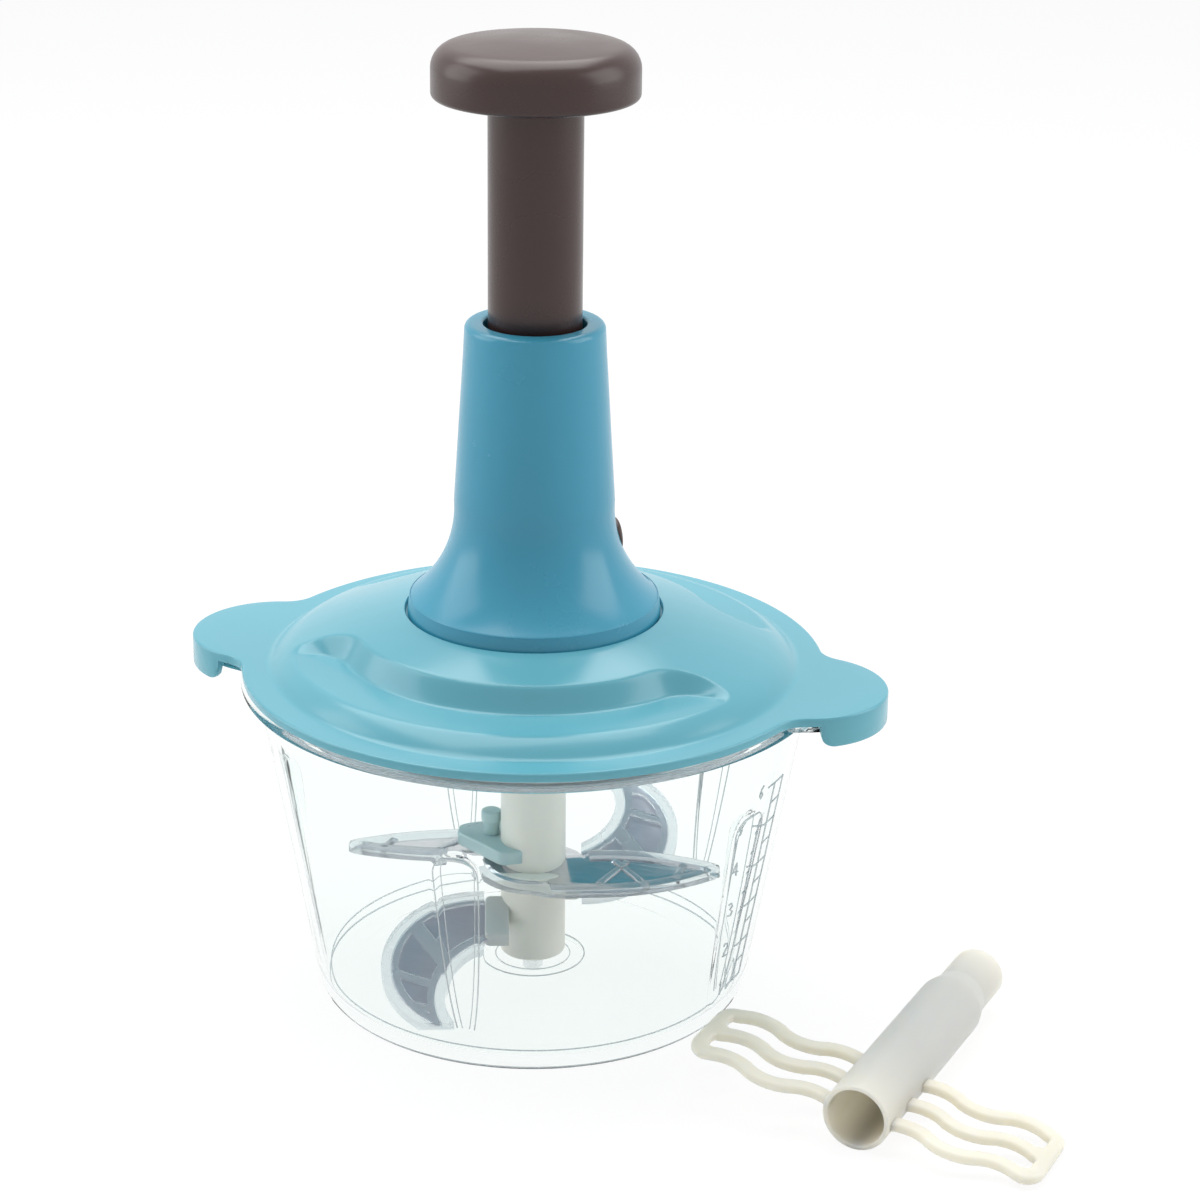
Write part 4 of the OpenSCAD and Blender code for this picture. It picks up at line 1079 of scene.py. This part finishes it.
def shaft():
    """The ivory shaft with its shoulder, flange and two lugs."""
    top = [(SHAFT_TOP_R, SHAFT_SHOULDER, 2.0), (SHAFT_TOP_R, SHAFT_TOP, 0.5), (6.0, SHAFT_TOP, 0.4),
           (6.0, SHAFT_TOP - 13.4), (0, SHAFT_TOP - 13.4)]
    body = [(0, SHAFT_Z), (SHAFT_R, SHAFT_Z, 0.7), (SHAFT_R, SHAFT_SHOULDER - 3, 2.5)]
    profile = dense(rounded(body + top, 5), 4.0)
    turned("shaft", profile, "blade", IVORY, ["blade_shaft"], 120)
    low = BLADE_Z - 2.1
    flange = rounded([(SHAFT_R - 0.5, low), (HUB_R - 1.5, low, 0.5), (HUB_R - 1.5, low + 2, 0.4),
                      (SHAFT_R - 0.5, low + 2)], 4)
    turned("shaft_flange", flange, "blade", IVORY, (), 96)
    out, inside = -SHAFT_R - LUG_W, -7.0
    outline = rounded([(inside, -17.5), (out, -17.5, 1.8), (out, -1.3, 1.8), (inside, -1.3)], 5)
    for name, turn in (("shaft_lug_low", 0), ("shaft_lug_high", 180)):
        plate(name, [outline], LUG_T, 0.6, tilted(turn), "blade", LUG)


def clamp():
    """The small plate with a stepped peg that holds the flat blade."""
    outline = rounded([(x, y, CLAMP_CORNER_R) for x, y in CLAMP_CORNERS], 6)
    place = SPIN @ Matrix.Translation((0, 0, CLAMP_Z + CLAMP_T / 2))
    plate("clamp", [outline], CLAMP_T, 0.7, place, "blade", PALE, ["blade_clamp"])
    profile = rounded([(0, 1), (2.4, 1), (2.4, 8, 0.3), (3.0, 9, 0.3), (3.0, 11.7, 0.5), (2.5, 12, 0.3),
                       (0, 12)], 4)
    peg_place = SPIN @ Matrix.Translation((*PEG_AT, CLAMP_Z))
    turned("clamp_peg", profile, "blade", PALE, (), 48, peg_place)


# ---------------------------------------------------------------- beater

def beater_place():
    """Lays the beater on the table, rolled until one frame's end almost touches it."""
    roll = math.asin((SHAFT_R - BAR_T / 2 - 0.6) / BEATER_REACH)
    turn = Matrix.Rotation(math.radians(BEATER_TURN), 4, "Z")
    return Matrix.Translation((BEATER_X, BEATER_Y, SHAFT_R)) @ turn @ Matrix.Rotation(roll, 4, "Y")


def wave_edge(offset, side, start, end):
    """Points of one long edge of a waving bar: its middle line's offset, and which side of it."""
    waves = 3
    first = SHAFT_R - 2
    chord = (BEATER_REACH - 5.5 - first) / waves
    bow_r = chord * 0.9
    flat = bow_r * math.cos(math.asin(chord / 2 / bow_r))
    out = []
    for k in range(49):
        x = start + (end - start) * k / 48
        i = min(waves - 1, max(0, int((x - first) / chord)))
        bend = 1 if i % 2 == 0 else -1
        r = bow_r + side * bend * BAR_W / 2
        across = x - first - (i + 0.5) * chord
        y = bend * (math.sqrt(r * r - min(across * across, r * r)) - flat)
        out.append((x, offset + y))
    return out


def beater_frame():
    """Outline and holes of one flat frame of three waving bars."""
    corner, root, hole_root = BEATER_CORNER_R, SHAFT_R - 1.3, SHAFT_R - 0.5
    pitch = (BEATER_FRAME_W - BAR_W) / 2
    middle = [BAR_W / 2 + i * pitch for i in range(3)]
    bend_x = BEATER_REACH - corner
    inner_x = BEATER_REACH - BAR_W
    outer = wave_edge(middle[0], -1, root, bend_x)[:-2]
    outer += arc(bend_x, corner, corner, -90, 0, 8)[1:]
    outer += arc(bend_x, BEATER_FRAME_W - corner, corner, 0, 90, 8)[:-1]
    outer += list(reversed(wave_edge(middle[2], 1, root, bend_x)[:-2]))
    holes = []
    for i in (0, 1):
        low = wave_edge(middle[i], 1, hole_root, inner_x - 2.2)
        high = wave_edge(middle[i + 1], -1, hole_root, inner_x - 2.2)
        end = [(inner_x - 0.5, low[-1][1] + 0.6), (inner_x, low[-1][1] + 1.8)]
        end += [(inner_x, high[-1][1] - 1.8), (inner_x - 0.5, high[-1][1] - 0.6)]
        holes.append(low + end + list(reversed(high)))
    return [outer] + holes


def beater():
    """The whisking beater: an open tube with a frame to either side."""
    place = beater_place()
    upright = place @ Matrix.Rotation(-math.pi / 2, 4, "X")
    taper, narrow = 0.75 * BEATER_L, 0.83 * BEATER_L
    wall = BEATER_WALL
    outer = [(SHAFT_R - wall, 0, 0.5), (SHAFT_R, 0, 0.5), (SHAFT_R, taper, 6.0), (SHAFT_TOP_R, narrow, 6.0),
             (SHAFT_TOP_R, BEATER_L, 0.5)]
    inner = [(SHAFT_TOP_R - wall, BEATER_L, 0.5), (SHAFT_TOP_R - wall, narrow), (SHAFT_R - wall, taper)]
    profile = dense(rounded(outer + inner, 4), 4.0)
    turned("beater_tube", profile, "beater", CREAM, ["beater"], 120, upright)
    outlines = beater_frame()
    for name, side in (("beater_frame_right", 1), ("beater_frame_left", -1)):
        sided = [[(x * side, y + BEATER_RAISE) for x, y in outline] for outline in outlines]
        plate(name, sided, BAR_T, 0.9, place, "beater", CREAM)


# ---------------------------------------------------------------- put together

bowl()
bowl_scale()
bowl_painted_highlights()
lid()
lid_plug()
ear_skirts()
neck()
button()
knob()
tube()
return_spring()
flat_blade()
flat_guards()
sickles()
shaft()
clamp()
beater()

KEEP = {
    "pivot_pin": BRIGHT, "lid_gasket": SILICONE, "guide_sleeve": WHITE, "mechanism_plate": WHITE,
    "plate_screws": STEEL, "spindle_bush": BRASS, "knob_screw": STEEL, "drive_nut": WHITE,
    "tube_collar": WHITE, "drive_screw": STEEL, "clutch_driver": WHITE,
    "clutch_pawls": BRASS, "drive_dog": WHITE, "shaft_bush": BRASS, "guard_lower": GUARD,
    "guard_upper": GUARD, "lock_spring": STEEL,
}
for node, material in KEEP.items():
    NODES[node].data.materials.clear()
    NODES[node].data.materials.append(material)

for piece in bpy.context.scene.objects:
    dressed = piece.type == "MESH" and len(piece.data.materials) > 0
    if dressed and piece.data.materials[0] in (CLEAR, GUARD, SCALE_AND_HIGHLIGHT):
        piece.visible_shadow = False
        piece.visible_diffuse = False


# ---------------------------------------------------------------- floor, light and camera

def through_glass(tree):
    """1 for rays that show the background: the camera's, and those through gloss and clear plastic."""
    path = tree.nodes.new("ShaderNodeLightPath")
    first = tree.nodes.new("ShaderNodeMath")
    first.operation = "MAXIMUM"
    second = tree.nodes.new("ShaderNodeMath")
    second.operation = "MAXIMUM"
    tree.links.new(path.outputs["Is Camera Ray"], first.inputs[0])
    tree.links.new(path.outputs["Is Transmission Ray"], first.inputs[1])
    tree.links.new(first.outputs[0], second.inputs[0])
    tree.links.new(path.outputs["Is Glossy Ray"], second.inputs[1])
    return second.outputs[0]


def emitter(tree, kind, color, strength):
    """A node that gives light of a colour, for a surface or the world."""
    made = tree.nodes.new(kind)
    made.inputs["Color"].default_value = color
    made.inputs["Strength"].default_value = strength
    return made


def diffuse(tree, grey):
    """A matt grey surface."""
    made = tree.nodes.new("ShaderNodeBsdfDiffuse")
    made.inputs["Color"].default_value = (grey, grey, grey, 1)
    return made


def mixed(tree, plain, seen, out):
    """plain for the light on the object, and seen where the background shows."""
    mix = tree.nodes.new("ShaderNodeMixShader")
    tree.links.new(through_glass(tree), mix.inputs["Fac"])
    tree.links.new(plain.outputs[0], mix.inputs[1])
    tree.links.new(seen.outputs[0], mix.inputs[2])
    tree.links.new(mix.outputs[0], out.inputs["Surface"])


def floor():
    """A plain pale floor that shows as white, with the object's shadow kept faintly."""
    material = bpy.data.materials.new("floor")
    material.use_nodes = True
    tree = material.node_tree
    tree.nodes.clear()
    out = tree.nodes.new("ShaderNodeOutputMaterial")
    plain = diffuse(tree, 0.95)
    faint = diffuse(tree, 0.12)
    glow = emitter(tree, "ShaderNodeEmission", (1, 1, 1, 1), 0.9)
    lit = tree.nodes.new("ShaderNodeAddShader")
    tree.links.new(faint.outputs[0], lit.inputs[0])
    tree.links.new(glow.outputs[0], lit.inputs[1])
    mixed(tree, plain, lit, out)
    mesh = bpy.data.meshes.new("floor")
    half = 6.0
    corners = [(-half, -half, 0), (half, -half, 0), (half, half, 0), (-half, half, 0)]
    mesh.from_pydata(corners, [], [(0, 1, 2, 3)])
    mesh.materials.append(material)
    plane = bpy.data.objects.new("floor", mesh)
    plane.location.z = -0.0003
    bpy.context.scene.collection.objects.link(plane)


def world():
    """A soft, slightly cool light from all round, which shows as white."""
    made = bpy.data.worlds.new("world")
    bpy.context.scene.world = made
    made.use_nodes = True
    tree = made.node_tree
    tree.nodes.clear()
    out = tree.nodes.new("ShaderNodeOutputWorld")
    light = emitter(tree, "ShaderNodeBackground", (0.96, 0.98, 1.0, 1), 0.32)
    white = emitter(tree, "ShaderNodeBackground", (1, 1, 1, 1), 1.0)
    mixed(tree, light, white, out)


def softbox(name, place, target, width, height, power):
    """A broad lamp of so many watts at a place, turned to its target."""
    data = bpy.data.lights.new(name, "AREA")
    data.shape = "RECTANGLE"
    data.size = width
    data.size_y = height
    data.energy = power
    lamp = bpy.data.objects.new(name, data)
    lamp.location = place
    away = Vector(place) - Vector(target)
    lamp.rotation_euler = away.to_track_quat("Z", "Y").to_euler()
    bpy.context.scene.collection.objects.link(lamp)


def camera():
    """Stands where the photograph was taken from: a long lens, a little above the knob."""
    distance, height = 0.861, 0.443
    pitch, yaw, roll = math.radians(20.6), math.radians(1.26), math.radians(0.66)
    azimuth = math.radians(15.7)
    spin = Matrix.Rotation(azimuth, 3, "Z")
    ahead = Vector((math.sin(yaw) * math.cos(pitch), math.cos(yaw) * math.cos(pitch), -math.sin(pitch)))
    right = Vector((math.cos(yaw), -math.sin(yaw), 0))
    up = right.cross(ahead)
    rolled_right = right * math.cos(roll) + up * math.sin(roll)
    rolled_up = up * math.cos(roll) - right * math.sin(roll)
    columns = [spin @ rolled_right, spin @ rolled_up, spin @ -ahead]
    data = bpy.data.cameras.new("camera")
    data.sensor_width = 36
    data.sensor_height = 36
    data.sensor_fit = "HORIZONTAL"
    data.lens = 96
    data.clip_start = 0.01
    data.clip_end = 50
    eye = bpy.data.objects.new("camera", data)
    bpy.context.scene.collection.objects.link(eye)
    matrix = Matrix([[columns[c][r] for c in range(3)] for r in range(3)]).to_4x4()
    matrix.translation = spin @ Vector((0, -distance, height))
    eye.matrix_world = matrix
    bpy.context.scene.camera = eye


floor()
world()
softbox("top_light", (-0.2, 0.3, 1.3), (0, 0, 0.1), 1.4, 1.2, 18)
softbox("left_light", (-1.1, -0.2, 0.6), (0, 0, 0.12), 0.8, 1.0, 5.5)
softbox("right_light", (1.1, 0.2, 0.6), (0, 0, 0.12), 0.8, 1.0, 6)
camera()
bpy.context.scene.view_settings.view_transform = "Standard"
